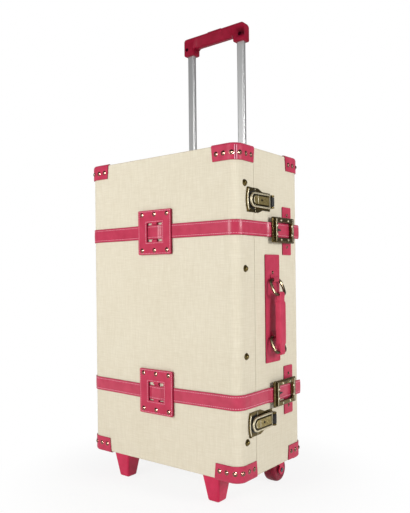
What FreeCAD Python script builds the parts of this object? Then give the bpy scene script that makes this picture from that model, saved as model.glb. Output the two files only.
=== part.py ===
import FreeCAD, Part
import math
import os

# A retro trolley suitcase in linen and leather, standing on two front feet and two rear wheels.
# Millimetres, +Z up, the large strapped face looks along -Y, latches and carry handle are on +X.

V = FreeCAD.Vector
X, Y, Z = V(1, 0, 0), V(0, 1, 0), V(0, 0, 1)

# Case body
case_width = 380.0
case_depth = 220.0
case_height = 600.0
wall = 5.0
edge_radius = 20.0
rim_chamfer = 3.0
lid_depth = 54.0
seam_gap = 0.7
rim_band = 7.5
tongue_thickness = 3.0
tongue_seat = 6.0
tongue_reach = 6.0
tongue_clearance = 0.7
lining_thickness = 2.5

# Leather corner caps
cap_thickness = 2.0
cap_width = 55.0
cap_height = 29.0
cap_slant = 3.0
cap_flap = 8.0
cap_rivet_pitch = 16.0
cap_rivet_row = 16.0

# Rivets and lid studs
rivet_radius = 4.6
rivet_dome = 3.2
rivet_sides = 8
rivet_sink = 0.5
head_crown = 0.6
small_rivet_radius = 3.0
stud_radius = 6.0
stud_dome = 5.0
stud_sides = 16
stud_offset = 24.5
stud_spread_inner = 78.5
stud_gap = 0.5

# Front feet
foot_top = 41.0
foot_bottom = 25.0
foot_corner = 5.0
foot_from_side = 73.0
foot_inset = 9.5

# Wheels
wheel_radius = 24.0
wheel_width = 26.0
wheel_tread_bevel = 3.0
wheel_from_side = 42.0
wheel_centre_from_rear = 36.0
axle_radius = 3.0
axle_running_fit = 0.05
fork_gap = 1.0
fork_cheek = 3.0
fork_plate = 3.0
fork_top_length = 52.0
fork_tip_radius = 9.0
axle_head_radius = 5.0
axle_head = 1.5
nut_sides = 6

# Straps, pads, tails and buckles
strap_width = 28.0
strap_thickness = 2.5
strap_spread = 155.5
strap_drop = 3.5
strap_end_from_seam = 8.0
strap_lift = 0.7
strap_turn = 12.0
tail_hinge_from_seam = 11.0
tail_gap = 0.4
tail_tip_from_rear = 12.0
tail_flat_from_rear = 118.0
tail_stand_off = 4.4
pad_width = 86.0
pad_shift = 3.0
pad_height = 87.0
pad_corner = 2.5
bridge_width = 13.0
bridge_height = 2.2
slot_width = 13.0
slot_relief = 4.1
pad_fit = 0.3
pad_rivet_pitch = 32.5
pad_rivet_row = 35.0
buckle_length = 80.0
buckle_height = 49.0
buckle_thickness = 4.0
buckle_bevel = 1.2
buckle_side_bar = 15.0
buckle_cross_bar = 9.5
buckle_from_rear = 37.5
prong_length = 16.0
prong_width = 5.0
prong_thickness = 2.0
tab_width = 32.0
tab_length = 94.0
tab_thickness = 2.0
tab_from_rear = 52.0
tab_rivet_row = 31.5
snap_radius = 5.5
snap_height = 1.6

# Latches
latch_from_strap = 47.5
plate_thickness = 1.6
plate_height = 45.0
plate_rim = 2.4
plate_rim_width = 3.0
catch_length = 26.0
catch_arc_rise = 4.0
plate_from_seam = 0.5
lock_length = 53.0
lock_neck_height = 34.0
lock_shoulder = 12.0
hasp_gap = 0.6
bow_height = 27.0
bow_bar = 4.0
bow_thickness = 4.5
bow_reach_past_seam = 21.0
barrel_height = 15.0
barrel_fit = 1.2
keyhole_radius = 1.8
keyhole_slot = 2.2
knuckle_radius = 5.5
knuckle_height = 18.0
knuckle_from_seam = 48.0
knuckle_pin = 2.0
lug_thickness = 3.0
lug_gap = 0.4
running_fit = 0.05

# Hinges
hinge_from_end = 68.0
hinge_height = 56.0
hinge_radius = 4.0
hinge_pin = 2.0
hinge_lift = 0.5
leaf_length = 24.0
leaf_thickness = 1.6
knuckle_gap = 0.4

# Carry handle
strip_width = 51.0
strip_length = 204.0
strip_thickness = 2.0
handle_from_seam = 59.0
loop_from_strip_end = 48.0
handle_lift = 3.0
loop_width = 18.0
loop_foot = 20.0
loop_foot_thickness = 2.0
loop_wall = 2.0
ring_wire = 2.8
ring_width = 44.0
ring_length = 35.6
ring_arm = 5.0
ring_droop = 66.0
carry_grip_thickness = 12.0
carry_grip_width = 20.0
carry_grip_corner = 3.5
grip_eye_reach = 14.0
grip_eye_width = 15.0
grip_eye_wall = 2.5
open_pivot_fit = 0.35
strip_rivet_from_end = 34.0

# Trolley
tube_width = 18.0
tube_depth = 10.0
tube_corner = 3.0
tube_wall = 1.5
tube_fit = 0.35
tube_spread = 68.0
tube_from_rear = 22.0
guide_wall = 1.4
guide_length = 318.0
tube_overlap = 46.0
bezel_overhang = 18.0
bezel_depth = 30.0
bezel_thickness = 3.0
cradle_height = 22.0
cradle_wall = 3.0
trolley_rise = 305.0
grip_overhang = 14.0
grip_depth = 25.0
grip_leg_width = 28.0
grip_leg_height = 39.5
grip_bar_height = 26.0
grip_top_corner = 10.0
grip_edge = 4.0
grip_under_edge = 5.0
button_length = 38.0
button_depth = 12.0
button_proud = 3.0
button_fit = 0.35
button_pocket = 11.0
button_flange = 1.5

# Derived planes of the case, which stands on its wheels
ground_clearance = 2 * wheel_radius + fork_gap + fork_plate
front_y = -case_depth / 2
rear_y = case_depth / 2
right_x = case_width / 2
left_x = -right_x
bottom_z = ground_clearance
top_z = bottom_z + case_height
mid_z = (bottom_z + top_z) / 2
seam_y = front_y + lid_depth
base_front_y = seam_y + seam_gap / 2
lid_rear_y = seam_y - seam_gap / 2
tube_y = rear_y - tube_from_rear
guide_width = tube_width + 2 * (tube_fit + guide_wall)
guide_depth = tube_depth + 2 * (tube_fit + guide_wall)

# Derived places along the faces
foot_offset_x = case_width / 2 - foot_from_side
wheel_centre_x = case_width / 2 - wheel_from_side
latch_spread = strap_spread + latch_from_strap
stud_spread_outer = latch_spread + plate_height / 2 + stud_gap + stud_radius
hinge_spread = case_height / 2 - hinge_from_end
loop_spread = strip_length / 2 - loop_from_strip_end
strip_rivet_row = strip_length / 2 - strip_rivet_from_end
grip_length = 2 * (loop_spread - grip_eye_reach)
bezel_length = 2 * (tube_spread + bezel_overhang)
grip_half_length = tube_spread + grip_overhang

SIDES = {"left": -1, "right": 1}
LEVELS = {"upper": 1, "lower": -1}
nodes = {}


# Shared shapes
def box(x0, x1, y0, y1, z0, z1):
    return Part.makeBox(x1 - x0, y1 - y0, z1 - z0, V(x0, y0, z0))


def cylinder(radius, start, end):
    return Part.makeCylinder(radius, (end - start).Length, start, end - start)


def polygon_face(points):
    return Part.Face(Part.makePolygon(points + [points[0]]))


def prism(points, along):
    return polygon_face(points).extrude(along)


def rounded_wire(width, depth, radius, z):
    w, d, r = width / 2, depth / 2, radius
    k = r * (1 - math.sqrt(0.5))
    edges = []
    for sx, sy, turn in ((1, -1, 1), (1, 1, -1), (-1, 1, 1), (-1, -1, -1)):
        along_x = V(sx * (w - r), sy * d, z)
        middle = V(sx * (w - k), sy * (d - k), z)
        along_y = V(sx * w, sy * (d - r), z)
        ends = (along_x, along_y) if turn > 0 else (along_y, along_x)
        edges.append(Part.Arc(ends[0], middle, ends[1]).toShape())
    loop = []
    for i, arc in enumerate(edges):
        loop.append(arc)
        following = edges[(i + 1) % 4]
        loop.append(Part.LineSegment(arc.lastVertex().Point, following.firstVertex().Point).toShape())
    return Part.Wire(loop)


def rounded_bar(width, depth, radius, z0, z1):
    return Part.Face(rounded_wire(width, depth, radius, z0)).extrude(V(0, 0, z1 - z0))


def moved(shape, x=0.0, y=0.0, z=0.0):
    result = shape.copy()
    result.translate(V(x, y, z))
    return result


def level_edges(shape, z):
    return [e for e in shape.Edges if all(abs(v.Z - z) < 1e-6 for v in e.Vertexes)]


def rounded_body(inset):
    z0, z1 = bottom_z + inset, top_z - inset
    body = rounded_bar(case_width - 2 * inset, case_depth - 2 * inset, edge_radius - inset, z0, z1)
    bevel = rim_chamfer - min(inset, 0.0)
    return body if inset > 0 else body.makeChamfer(bevel, level_edges(body, z0) + level_edges(body, z1))


def slab(y0, y1):
    reach = case_width + case_height
    return box(-reach, reach, y0, y1, -reach, 2 * reach)


def frustum(lower, upper):
    # A flat-sided block between two outlines with as many points.
    faces = [polygon_face(lower), polygon_face(upper)]
    for i in range(len(lower)):
        faces.append(polygon_face([lower[i - 1], lower[i], upper[i], upper[i - 1]]))
    shell = Part.makeShell(faces)
    shell.sewShape()
    block = Part.makeSolid(shell)
    if block.Volume < 0:
        block.reverse()
    return block


def regular_points(radius, sides, z):
    turns = [2 * math.pi * (i + 0.5) / sides for i in range(sides)]
    return [V(radius * math.cos(t), radius * math.sin(t), z) for t in turns]


def head(radius, height, sides, sink=0.0):
    # A low rivet or stud head, which may sink into a curved seat.
    return frustum(regular_points(radius, sides, -sink), regular_points(radius * head_crown, sides, height))


def seated(shape, point, normal):
    result = shape.copy()
    result.Placement = FreeCAD.Placement(point, FreeCAD.Rotation(Z, normal))
    return result


def band(start, heading, moves, thickness):
    # A leather band in plan: the inner line follows the moves, the outer one lies to its right.
    inner, outer = [], []
    here, angle = V(*start), math.radians(heading)
    for kind, *size in moves:
        right = V(math.sin(angle), -math.cos(angle), 0)
        if kind == "line":
            ahead = here + V(math.cos(angle), math.sin(angle), 0) * size[0]
            inner.append(Part.LineSegment(here, ahead).toShape())
            outer.append(Part.LineSegment(here + right * thickness, ahead + right * thickness).toShape())
            here = ahead
            continue
        radius, turn = size[0], math.radians(size[1])
        side = -1 if turn > 0 else 1
        centre = here + right * (side * radius)
        outer_radius = radius - side * thickness
        for rail, r in ((inner, radius), (outer, outer_radius)):
            spokes = []
            for share in (0, 0.5, 1):
                a = angle + turn * share
                spokes.append(centre + V(math.sin(a), -math.cos(a), 0) * (-side * r))
            rail.append(Part.Arc(*spokes).toShape())
        angle += turn
        here = centre + V(math.sin(angle), -math.cos(angle), 0) * (-side * radius)
    first, last = inner[0].firstVertex().Point, inner[-1].lastVertex().Point
    first_outer, last_outer = outer[0].firstVertex().Point, outer[-1].lastVertex().Point
    ends = [Part.LineSegment(first, first_outer).toShape(), Part.LineSegment(last, last_outer).toShape()]
    return Part.Face(Part.Wire(Part.__sortEdges__(inner + outer + ends)))


def jog(rise, outward):
    # Two opposite turns that carry a band away from the wall (outward) or back to it.
    turn = math.degrees(math.acos(1 - rise / (2 * strap_turn)))
    sign = -1 if outward else 1
    return [("arc", strap_turn, sign * turn), ("arc", strap_turn, -sign * turn)]


def jog_length(rise):
    return 2 * strap_turn * math.sin(math.acos(1 - rise / (2 * strap_turn)))


# Shells, rims and linings
outer_body = rounded_body(0)
hollow = rounded_body(wall)
skin = outer_body.cut(hollow)
cap_body = rounded_body(-cap_thickness)
cap_skin = cap_body.cut(outer_body)
base_shell = skin.common(slab(base_front_y + rim_band, rear_y + cap_thickness))
lid_shell = skin.common(slab(front_y - cap_thickness, lid_rear_y - rim_band))
nodes["base_rim"] = skin.common(slab(base_front_y, base_front_y + rim_band))


def frame_ring(inset, thickness, y0, y1):
    def block(i):
        return box(left_x + i, right_x - i, y0, y1, bottom_z + i, top_z - i)
    return block(inset).cut(block(inset + thickness))


lid_band = skin.common(slab(lid_rear_y - rim_band, lid_rear_y))
seated_tongue = frame_ring(wall, tongue_thickness, lid_rear_y - rim_band - tongue_seat, lid_rear_y)
free_tongue = frame_ring(wall + tongue_clearance, tongue_thickness - tongue_clearance,
                         lid_rear_y, seam_y + tongue_reach)
nodes["lid_rim"] = lid_band.fuse([seated_tongue, free_tongue]).removeSplitter()
lining_y = tube_y - guide_depth / 2 - lining_thickness
nodes["base_lining_panel"] = box(left_x + wall, right_x - wall, lining_y, lining_y + lining_thickness,
                                 bottom_z + wall, top_z - wall)
nodes["lid_lining_panel"] = hollow.common(slab(front_y + wall, front_y + wall + lining_thickness))


# Trolley: guides through the top wall, tubes, bezel, cradle, grip and button
def tube_bar(extra, z0, z1):
    return rounded_bar(tube_width + 2 * extra, tube_depth + 2 * extra, tube_corner + extra, z0, z1)


def at_tubes(shape):
    return {side: moved(shape, sign * tube_spread, tube_y) for side, sign in SIDES.items()}


guide_bottom = top_z - guide_length
guide_solid = tube_bar(tube_fit + guide_wall, guide_bottom, top_z)
guides = at_tubes(guide_solid.cut(tube_bar(tube_fit, guide_bottom, top_z)))
nodes["trolley_guides"] = Part.makeCompound(list(guides.values()))
base_shell = base_shell.cut(list(at_tubes(guide_solid).values()))
bezel = rounded_bar(bezel_length, bezel_depth, bezel_depth / 2 - 1, top_z, top_z + bezel_thickness)
bezel = moved(bezel, 0, tube_y)
tube_hole = tube_bar(tube_fit, top_z, top_z + bezel_thickness)
nodes["trolley_bezel"] = bezel.cut(list(at_tubes(tube_hole).values()))
cradle_half = tube_spread + guide_width / 2 + cradle_wall
cradle_front = tube_y - guide_depth / 2
cradle = box(-cradle_half, cradle_half, cradle_front, rear_y - wall, guide_bottom - cradle_wall,
             guide_bottom + cradle_height)
window_half = tube_spread - guide_width
cradle_window = box(-window_half, window_half, cradle_front, rear_y - wall - cradle_wall,
                    guide_bottom, guide_bottom + cradle_height)
guide_seat = tube_bar(tube_fit + guide_wall, guide_bottom, guide_bottom + cradle_height)
nodes["trolley_cradle"] = cradle.cut([cradle_window] + list(at_tubes(guide_seat).values()))
grip_top_z = top_z + trolley_rise
leg_bottom_z = grip_top_z - grip_leg_height
bar_under_z = grip_top_z - grip_bar_height
tube_top_z = bar_under_z
tube = tube_bar(0, top_z - tube_overlap, tube_top_z)
tube = tube.cut(tube_bar(-tube_wall, top_z - tube_overlap, tube_top_z))
for side, shape in at_tubes(tube).items():
    nodes["trolley_tube_" + side] = shape


def trolley_grip():
    g, r, leg = grip_half_length, grip_top_corner, grip_half_length - grip_leg_width
    k = r * (1 - math.sqrt(0.5))
    y0 = tube_y - grip_depth / 2
    p = [V(-g, y0, leg_bottom_z), V(-g, y0, grip_top_z - r), V(-g + r, y0, grip_top_z),
         V(g - r, y0, grip_top_z), V(g, y0, grip_top_z - r), V(g, y0, leg_bottom_z),
         V(leg, y0, leg_bottom_z), V(leg, y0, bar_under_z), V(-leg, y0, bar_under_z),
         V(-leg, y0, leg_bottom_z)]
    edges = [Part.Arc(p[1], V(-g + k, y0, grip_top_z - k), p[2]).toShape(),
             Part.Arc(p[3], V(g - k, y0, grip_top_z - k), p[4]).toShape()]
    for i in (0, 2, 4, 5, 6, 7, 8, 9):
        edges.append(Part.LineSegment(p[i], p[(i + 1) % len(p)]).toShape())
    outline = Part.Wire(Part.__sortEdges__(edges))
    grip = Part.Face(outline).extrude(V(0, grip_depth, 0))
    outline_edges = [e for e in grip.Edges if e.BoundBox.YLength < 1e-6]
    grip = grip.makeChamfer(grip_edge, [e for e in outline_edges if e.BoundBox.ZMax > bar_under_z + 1e-6])
    cuts = list(at_tubes(tube_bar(0, leg_bottom_z, tube_top_z)).values())
    for sign in (-1, 1):
        edge_y = tube_y + sign * grip_depth / 2
        bevel = [V(-leg, edge_y, bar_under_z), V(-leg, edge_y - sign * grip_under_edge, bar_under_z),
                 V(-leg, edge_y, bar_under_z + grip_under_edge)]
        cuts.append(prism(bevel, X * (2 * leg)))
    half, deep = button_length / 2 + button_fit, button_depth / 2 + button_fit
    floor_z = grip_top_z - button_pocket
    lip_z = grip_top_z - button_proud - button_flange
    well = box(-half, half, tube_y - deep, tube_y + deep, floor_z, grip_top_z)
    shoulder = box(-half - button_flange, half + button_flange, tube_y - deep, tube_y + deep, floor_z, lip_z)
    return grip.cut(cuts + [well, shoulder])


def trolley_button():
    half, deep = button_length / 2, button_depth / 2
    lip_z = grip_top_z - button_proud - button_flange - button_fit
    foot_z = lip_z - button_flange
    cap = box(-half, half, tube_y - deep, tube_y + deep, foot_z, grip_top_z + button_proud)
    cap = cap.makeFillet(button_proud - 1, level_edges(cap, grip_top_z + button_proud))
    flange = box(-half - button_flange, half + button_flange, tube_y - deep, tube_y + deep, foot_z, lip_z)
    return cap.fuse(flange).removeSplitter()


nodes["trolley_grip"] = trolley_grip()
nodes["trolley_button"] = trolley_button()


# Feet and wheels
def front_foot(sign):
    def ring(size, z):
        h, c = size / 2, size / 2 - foot_corner
        corners = [(h, -c), (h, c), (c, h), (-c, h), (-h, c), (-h, -c), (-c, -h), (c, -h)]
        return [V(a, b, z) for a, b in corners]
    foot = frustum(ring(foot_top, bottom_z), ring(foot_bottom, 0))
    return moved(foot, sign * foot_offset_x, front_y + foot_inset + foot_top / 2)


wheel_y = rear_y - wheel_centre_from_rear
cheek_in = wheel_width / 2 + fork_gap
cheek_out = cheek_in + fork_cheek


def wheel(sign):
    r, w, k = wheel_radius, wheel_width / 2, wheel_tread_bevel
    hub = axle_radius + axle_running_fit
    p = [V(-w, 0, hub), V(-w, 0, r - k), V(-w + k, 0, r), V(w - k, 0, r), V(w, 0, r - k), V(w, 0, hub)]
    tyre = polygon_face(p).revolve(V(0, 0, 0), X, 360)
    return moved(tyre, sign * wheel_centre_x, wheel_y, wheel_radius)


def wheel_fork(sign):
    z, t = wheel_radius, fork_tip_radius
    half = fork_top_length / 2
    reach = math.hypot(half, bottom_z - z)
    lean = math.asin(t / reach) + math.atan2(half, bottom_z - z)
    touch = V(0, t * math.cos(lean), z + t * math.sin(lean))
    front, rear = V(0, -half, bottom_z), V(0, half, bottom_z)
    mirror = V(0, -touch.y, touch.z)
    edges = [Part.LineSegment(a, b).toShape() for a, b in ((mirror, front), (front, rear), (rear, touch))]
    edges.append(Part.Arc(touch, V(0, 0, z - t), mirror).toShape())
    side_face = Part.Face(Part.Wire(edges))
    cheeks = []
    for x in (-cheek_out, cheek_in):
        cheek = moved(side_face.extrude(V(fork_cheek, 0, 0)), x)
        cheeks.append(cheek)
    plate = box(-cheek_out, cheek_out, -half, half, bottom_z - fork_plate, bottom_z)
    fork = plate.fuse(cheeks).removeSplitter()
    fork = fork.cut(cylinder(axle_radius, V(-cheek_out, 0, z), V(cheek_out, 0, z)))
    clearance = cylinder(wheel_radius + fork_gap, V(-cheek_in, 0, z), V(cheek_in, 0, z))
    return moved(fork.cut(clearance), sign * wheel_centre_x, wheel_y)


def wheel_axle(sign):
    axle = cylinder(axle_radius, V(-cheek_out, 0, 0), V(cheek_out, 0, 0))
    nut = prism(regular_points(axle_head_radius, nut_sides, 0), Z * axle_head)
    heads = [seated(nut, V(s * cheek_out, 0, 0), X * s) for s in (-1, 1)]
    return moved(axle.fuse(heads).removeSplitter(), sign * wheel_centre_x, wheel_y, wheel_radius)


for side, sign in SIDES.items():
    nodes["front_foot_" + side] = front_foot(sign)
    nodes["wheel_" + side] = wheel(sign)
    nodes["wheel_fork_" + side] = wheel_fork(sign)
nodes["wheel_axles"] = Part.makeCompound([wheel_axle(sign) for sign in SIDES.values()])


# Corner caps with their rivets
def corner_region(sx, sy, sz):
    def ring(size, z):
        c = [(-cap_thickness, -cap_thickness), (size, -cap_thickness), (size, cap_flap), (cap_flap, size),
             (-cap_thickness, size)]
        return [V(sx * (right_x - a), sy * (rear_y - b), z) for a, b in c]
    edge_z = mid_z + sz * (case_height / 2 + cap_thickness)
    inner_z = mid_z + sz * (case_height / 2 - cap_height)
    return frustum(ring(cap_width - cap_slant, inner_z), ring(cap_width, edge_z))


def cap_rivet_seats(sx, sy, sz):
    z = mid_z + sz * (case_height / 2 - cap_rivet_row)
    seats = []
    for i in range(3):
        along = cap_width - cap_slant - rivet_radius - (0.5 + i) * cap_rivet_pitch + cap_rivet_pitch / 4
        turned = max(0.0, edge_radius - along)
        lean = math.asin(min(1.0, turned / edge_radius))
        drop = edge_radius * (1 - math.cos(lean))
        tilt, square = math.sin(lean), math.cos(lean)
        on_face = V(sx * (right_x - along), sy * (rear_y - drop), z)
        on_side = V(sx * (right_x - drop), sy * (rear_y - along), z)
        seats.append((on_face, V(sx * tilt, sy * square, 0)))
        seats.append((on_side, V(sx * square, sy * tilt, 0)))
    return seats


rivet = head(rivet_radius, rivet_dome, rivet_sides)
cap_rivet = head(rivet_radius, rivet_dome, rivet_sides, rivet_sink)
lid_rivets, base_rivets = [], []
for side, sx in SIDES.items():
    for end, sy in (("front", -1), ("rear", 1)):
        below = nodes["front_foot_" + side] if end == "front" else nodes["wheel_fork_" + side]
        for height, sz in (("top", 1), ("bottom", -1)):
            seats = [(p + n * cap_thickness, n) for p, n in cap_rivet_seats(sx, sy, sz)]
            cap = cap_skin.common(corner_region(sx, sy, sz))
            if height == "bottom":
                cap = cap.cut(below)
            nodes["%s_cap_%s_%s" % (end, side, height)] = cap
            heads = [seated(cap_rivet, p, n).cut(cap_body) for p, n in seats]
            (lid_rivets if end == "front" else base_rivets).extend(heads)

# Straps on the lid, woven through their pads
bridge_rise = bridge_height + pad_fit
pad_thickness = bridge_rise + strap_thickness + pad_fit
slot_inner = bridge_width / 2
slot_outer = slot_inner + slot_width
straight_front = case_width - 2 * edge_radius
strap_end_y = seam_y - strap_end_from_seam
tail_axis_y = seam_y - tail_hinge_from_seam
tail_axis_x = right_x + strap_lift + strap_thickness / 2
tail_start_y = tail_axis_y - strap_thickness / 2 - tail_gap


def strap(z):
    side_run = strap_end_y - (front_y + edge_radius)
    climb = jog_length(bridge_rise)
    lead = straight_front / 2 - bridge_width / 2 - climb
    near_run = tail_start_y - (front_y + edge_radius) - jog_length(strap_lift)
    moves = [("line", side_run), ("arc", edge_radius, 90), ("line", lead - pad_shift)]
    moves += jog(bridge_rise, True) + [("line", bridge_width)] + jog(bridge_rise, False)
    moves += [("line", lead + pad_shift), ("arc", edge_radius, 90), ("line", near_run / 2)]
    moves += jog(strap_lift, True) + [("line", near_run / 2)]
    face = band((left_x, strap_end_y, z - strap_width / 2), -90, moves, strap_thickness)
    return face.extrude(V(0, 0, strap_width))


def strap_pad(z):
    w, t = pad_width / 2, pad_thickness
    sheet = rounded_bar(pad_width, pad_height, pad_corner, 0, t)
    sheet.rotate(V(0, 0, 0), X, 90)
    pad = moved(sheet, -pad_shift, front_y, z)
    tall = strap_width / 2 + pad_fit
    under = front_y - strap_thickness - pad_fit
    cuts = []
    for sign in (-1, 1):
        a, b = sorted((sign * slot_outer - pad_shift, sign * w - pad_shift))
        cuts.append(box(a, b, under, front_y, z - tall, z + tall))
        a, b = sorted((sign * slot_inner - pad_shift, sign * slot_outer - pad_shift))
        cuts.append(box(a, b, front_y - t, front_y, z - tall - slot_relief, z + tall + slot_relief))
    a, b = -slot_inner - pad_shift, slot_inner - pad_shift
    cuts.append(box(a, b, front_y - t, front_y - bridge_height, z - tall, z + tall))
    return pad.cut(cuts)


def pad_rivet_seats(z):
    return [(V(i * pad_rivet_pitch - pad_shift, front_y - pad_thickness, z + s * pad_rivet_row), -Y)
            for i in (-1, 0, 1) for s in (-1, 1)]


for level, sign in LEVELS.items():
    z = mid_z - strap_drop + sign * strap_spread
    nodes["strap_" + level] = strap(z)
    nodes["strap_pad_" + level] = strap_pad(z)
    lid_rivets += [seated(rivet, p, n) for p, n in pad_rivet_seats(z)]

# Strap tails with their buckles, tabs and snaps on the latch side
tail_tip_y = rear_y - tail_tip_from_rear
tail_flat_y = rear_y - tail_flat_from_rear
buckle_y = rear_y - buckle_from_rear - buckle_length / 2
tab_y = rear_y - tab_from_rear
tail_x = right_x + tail_stand_off


def strap_tail(z):
    rise = tail_stand_off - strap_lift
    first = tail_flat_y - jog_length(rise) - tail_axis_y
    moves = [("line", first)] + jog(rise, True) + [("line", tail_tip_y - tail_flat_y)]
    start = (right_x + strap_lift, tail_axis_y, z - strap_width / 2)
    tail = band(start, 90, moves, strap_thickness).extrude(V(0, 0, strap_width))
    axis = V(tail_axis_x, tail_axis_y, z - strap_width / 2)
    return tail.fuse(cylinder(strap_thickness / 2, axis, axis + Z * strap_width)).removeSplitter()


def buckle(z):
    x0 = tail_x + strap_thickness
    half, tall = buckle_length / 2, buckle_height / 2
    plate = box(x0, x0 + buckle_thickness, buckle_y - half, buckle_y + half, z - tall, z + tall)
    wide, open_tall = half - buckle_side_bar, tall - buckle_cross_bar
    window = box(x0, x0 + buckle_thickness, buckle_y - wide, buckle_y + wide, z - open_tall, z + open_tall)
    frame = plate.cut(window)
    crest = [e for e in frame.Edges if all(abs(v.X - x0 - buckle_thickness) < 1e-6 for v in e.Vertexes)]
    frame = frame.makeChamfer(buckle_bevel, crest)
    root_y = buckle_y - wide
    p = [V(x0, root_y, z - prong_width / 2), V(x0, root_y + prong_length, z),
         V(x0, root_y, z + prong_width / 2)]
    prong = prism(p, X * prong_thickness)
    return frame.fuse(prong).removeSplitter()


small_rivet = head(small_rivet_radius, rivet_dome, rivet_sides)
tabs, snaps = [], []
for level, sign in LEVELS.items():
    z = mid_z - strap_drop + sign * strap_spread
    nodes["strap_tail_" + level] = strap_tail(z)
    nodes["buckle_" + level] = buckle(z)
    seats = [(V(right_x + tab_thickness, tab_y, z + s * tab_rivet_row), X) for s in (-1, 1)]
    tab = box(right_x, right_x + tab_thickness, tab_y - tab_width / 2, tab_y + tab_width / 2,
              z - tab_length / 2, z + tab_length / 2)
    corner_edges = [e for e in tab.Edges if e.BoundBox.XLength > tab_thickness / 2]
    tabs.append(tab.makeFillet(pad_corner, corner_edges))
    base_rivets += [seated(small_rivet, p, n) for p, n in seats]
    snap = head(snap_radius, snap_height, stud_sides)
    snaps.append(seated(snap, V(right_x + tab_thickness, tab_y, z), X))
nodes["buckle_tabs"] = Part.makeCompound(tabs)
nodes["snap_studs"] = Part.makeCompound(snaps)

# Latches: catch plate on the lid, lock plate on the base, hasp on a vertical pin
pin_x = right_x + plate_thickness + hasp_gap + knuckle_radius
pin_y = seam_y + knuckle_from_seam
plate_x = right_x + plate_thickness


def catch_plate(z):
    h, r = plate_height / 2, catch_arc_rise
    y1 = seam_y - plate_from_seam
    y0 = y1 - catch_length + r

    def shield(inset):
        p = [V(0, y1, z - h + inset), V(0, y1, z + h - inset), V(0, y0 + inset, z + h - inset),
             V(0, y0 + inset, z - h + inset)]
        bow = Part.Arc(p[2], V(0, y0 - r + inset, z), p[3]).toShape()
        rest = [Part.LineSegment(p[i], p[j]).toShape() for i, j in ((0, 1), (1, 2), (3, 0))]
        return Part.Face(Part.Wire(Part.__sortEdges__([bow] + rest)))
    plate = moved(shield(0).extrude(X * plate_thickness), right_x)
    lip = shield(0).cut(shield(plate_rim_width)).extrude(X * plate_rim)
    lip = lip.cut(box(-1, plate_rim + 1, y0 + plate_rim_width, y1, z - h, z + h))
    return plate.fuse(moved(lip, plate_x)).removeSplitter()


def lock_plate(z):
    h, n = plate_height / 2, lock_neck_height / 2
    y0 = seam_y + plate_from_seam
    y1 = y0 + lock_length
    shoulder = y0 + lock_shoulder
    waist = (y0 + y1) / 2
    p = [V(right_x, y0, z - h), V(right_x, y0, z + h), V(right_x, shoulder, z + h), V(right_x, waist, z + n),
         V(right_x, y1, z + n), V(right_x, y1, z - n), V(right_x, waist, z - n), V(right_x, shoulder, z - h)]
    plate = prism(p, X * plate_thickness)
    lugs = []
    for s in (-1, 1):
        z0 = z + s * (knuckle_height / 2 + lug_gap)
        foot = [V(right_x, pin_y - knuckle_radius, z0), V(pin_x, pin_y - knuckle_radius, z0),
                V(pin_x, pin_y + knuckle_radius, z0), V(right_x, pin_y + knuckle_radius, z0)]
        lug = prism(foot, Z * (s * lug_thickness))
        crown = cylinder(knuckle_radius, V(pin_x, pin_y, z0), V(pin_x, pin_y, z0 + s * lug_thickness))
        lugs.append(lug.fuse(crown).removeSplitter())
    reach = knuckle_height / 2 + lug_gap + lug_thickness
    bore = cylinder(knuckle_pin, V(pin_x, pin_y, z - reach), V(pin_x, pin_y, z + reach))
    return plate.fuse(lugs).removeSplitter().cut(bore)


hasp_x = plate_x + plate_rim + hasp_gap
bow_y = seam_y - bow_reach_past_seam


def bow_profile(height, y0, y1, z):
    r = height / 2
    p = [V(hasp_x, y1, z - r), V(hasp_x, y0 + r, z - r), V(hasp_x, y0, z), V(hasp_x, y0 + r, z + r),
         V(hasp_x, y1, z + r)]
    edges = [Part.LineSegment(p[0], p[1]).toShape(), Part.Arc(p[1], p[2], p[3]).toShape(),
             Part.LineSegment(p[3], p[4]).toShape(), Part.LineSegment(p[4], p[0]).toShape()]
    return Part.Face(Part.Wire(edges))


def hasp(z):
    outer = bow_profile(bow_height, bow_y, pin_y, z).extrude(X * bow_thickness)
    opening_end = pin_y - knuckle_radius - bow_bar
    window = bow_profile(bow_height - 2 * bow_bar, bow_y + bow_bar, opening_end, z).extrude(X * bow_thickness)
    bow = outer.cut(window)
    half = knuckle_height / 2
    relief = box(hasp_x - 1, hasp_x + bow_thickness + 1, pin_y - knuckle_radius - lug_gap, pin_y + 1,
                 z + half, z + bow_height)
    bow = bow.cut([relief, relief.mirror(V(0, 0, z), Z)])
    barrel = cylinder(knuckle_radius, V(pin_x, pin_y, z - half), V(pin_x, pin_y, z + half))
    bore = cylinder(knuckle_pin + running_fit, V(pin_x, pin_y, z - half), V(pin_x, pin_y, z + half))
    return bow.fuse(barrel).removeSplitter().cut(bore)


def lock_barrel(z):
    y0 = bow_y + bow_bar + barrel_fit + (bow_height - barrel_height) / 2 - bow_bar
    y1 = pin_y - knuckle_radius - bow_bar
    body = bow_profile(barrel_height, y0, y1, z).extrude(X * bow_thickness)
    centre = (y0 + y1) / 2
    face_x = hasp_x + bow_thickness
    hole = cylinder(keyhole_radius, V(face_x - 2, centre, z), V(face_x, centre, z))
    slot = box(face_x - 2, face_x, centre, centre + 2 * keyhole_radius + keyhole_slot, z - keyhole_slot / 2,
               z + keyhole_slot / 2)
    return body.cut([hole, slot])


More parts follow.
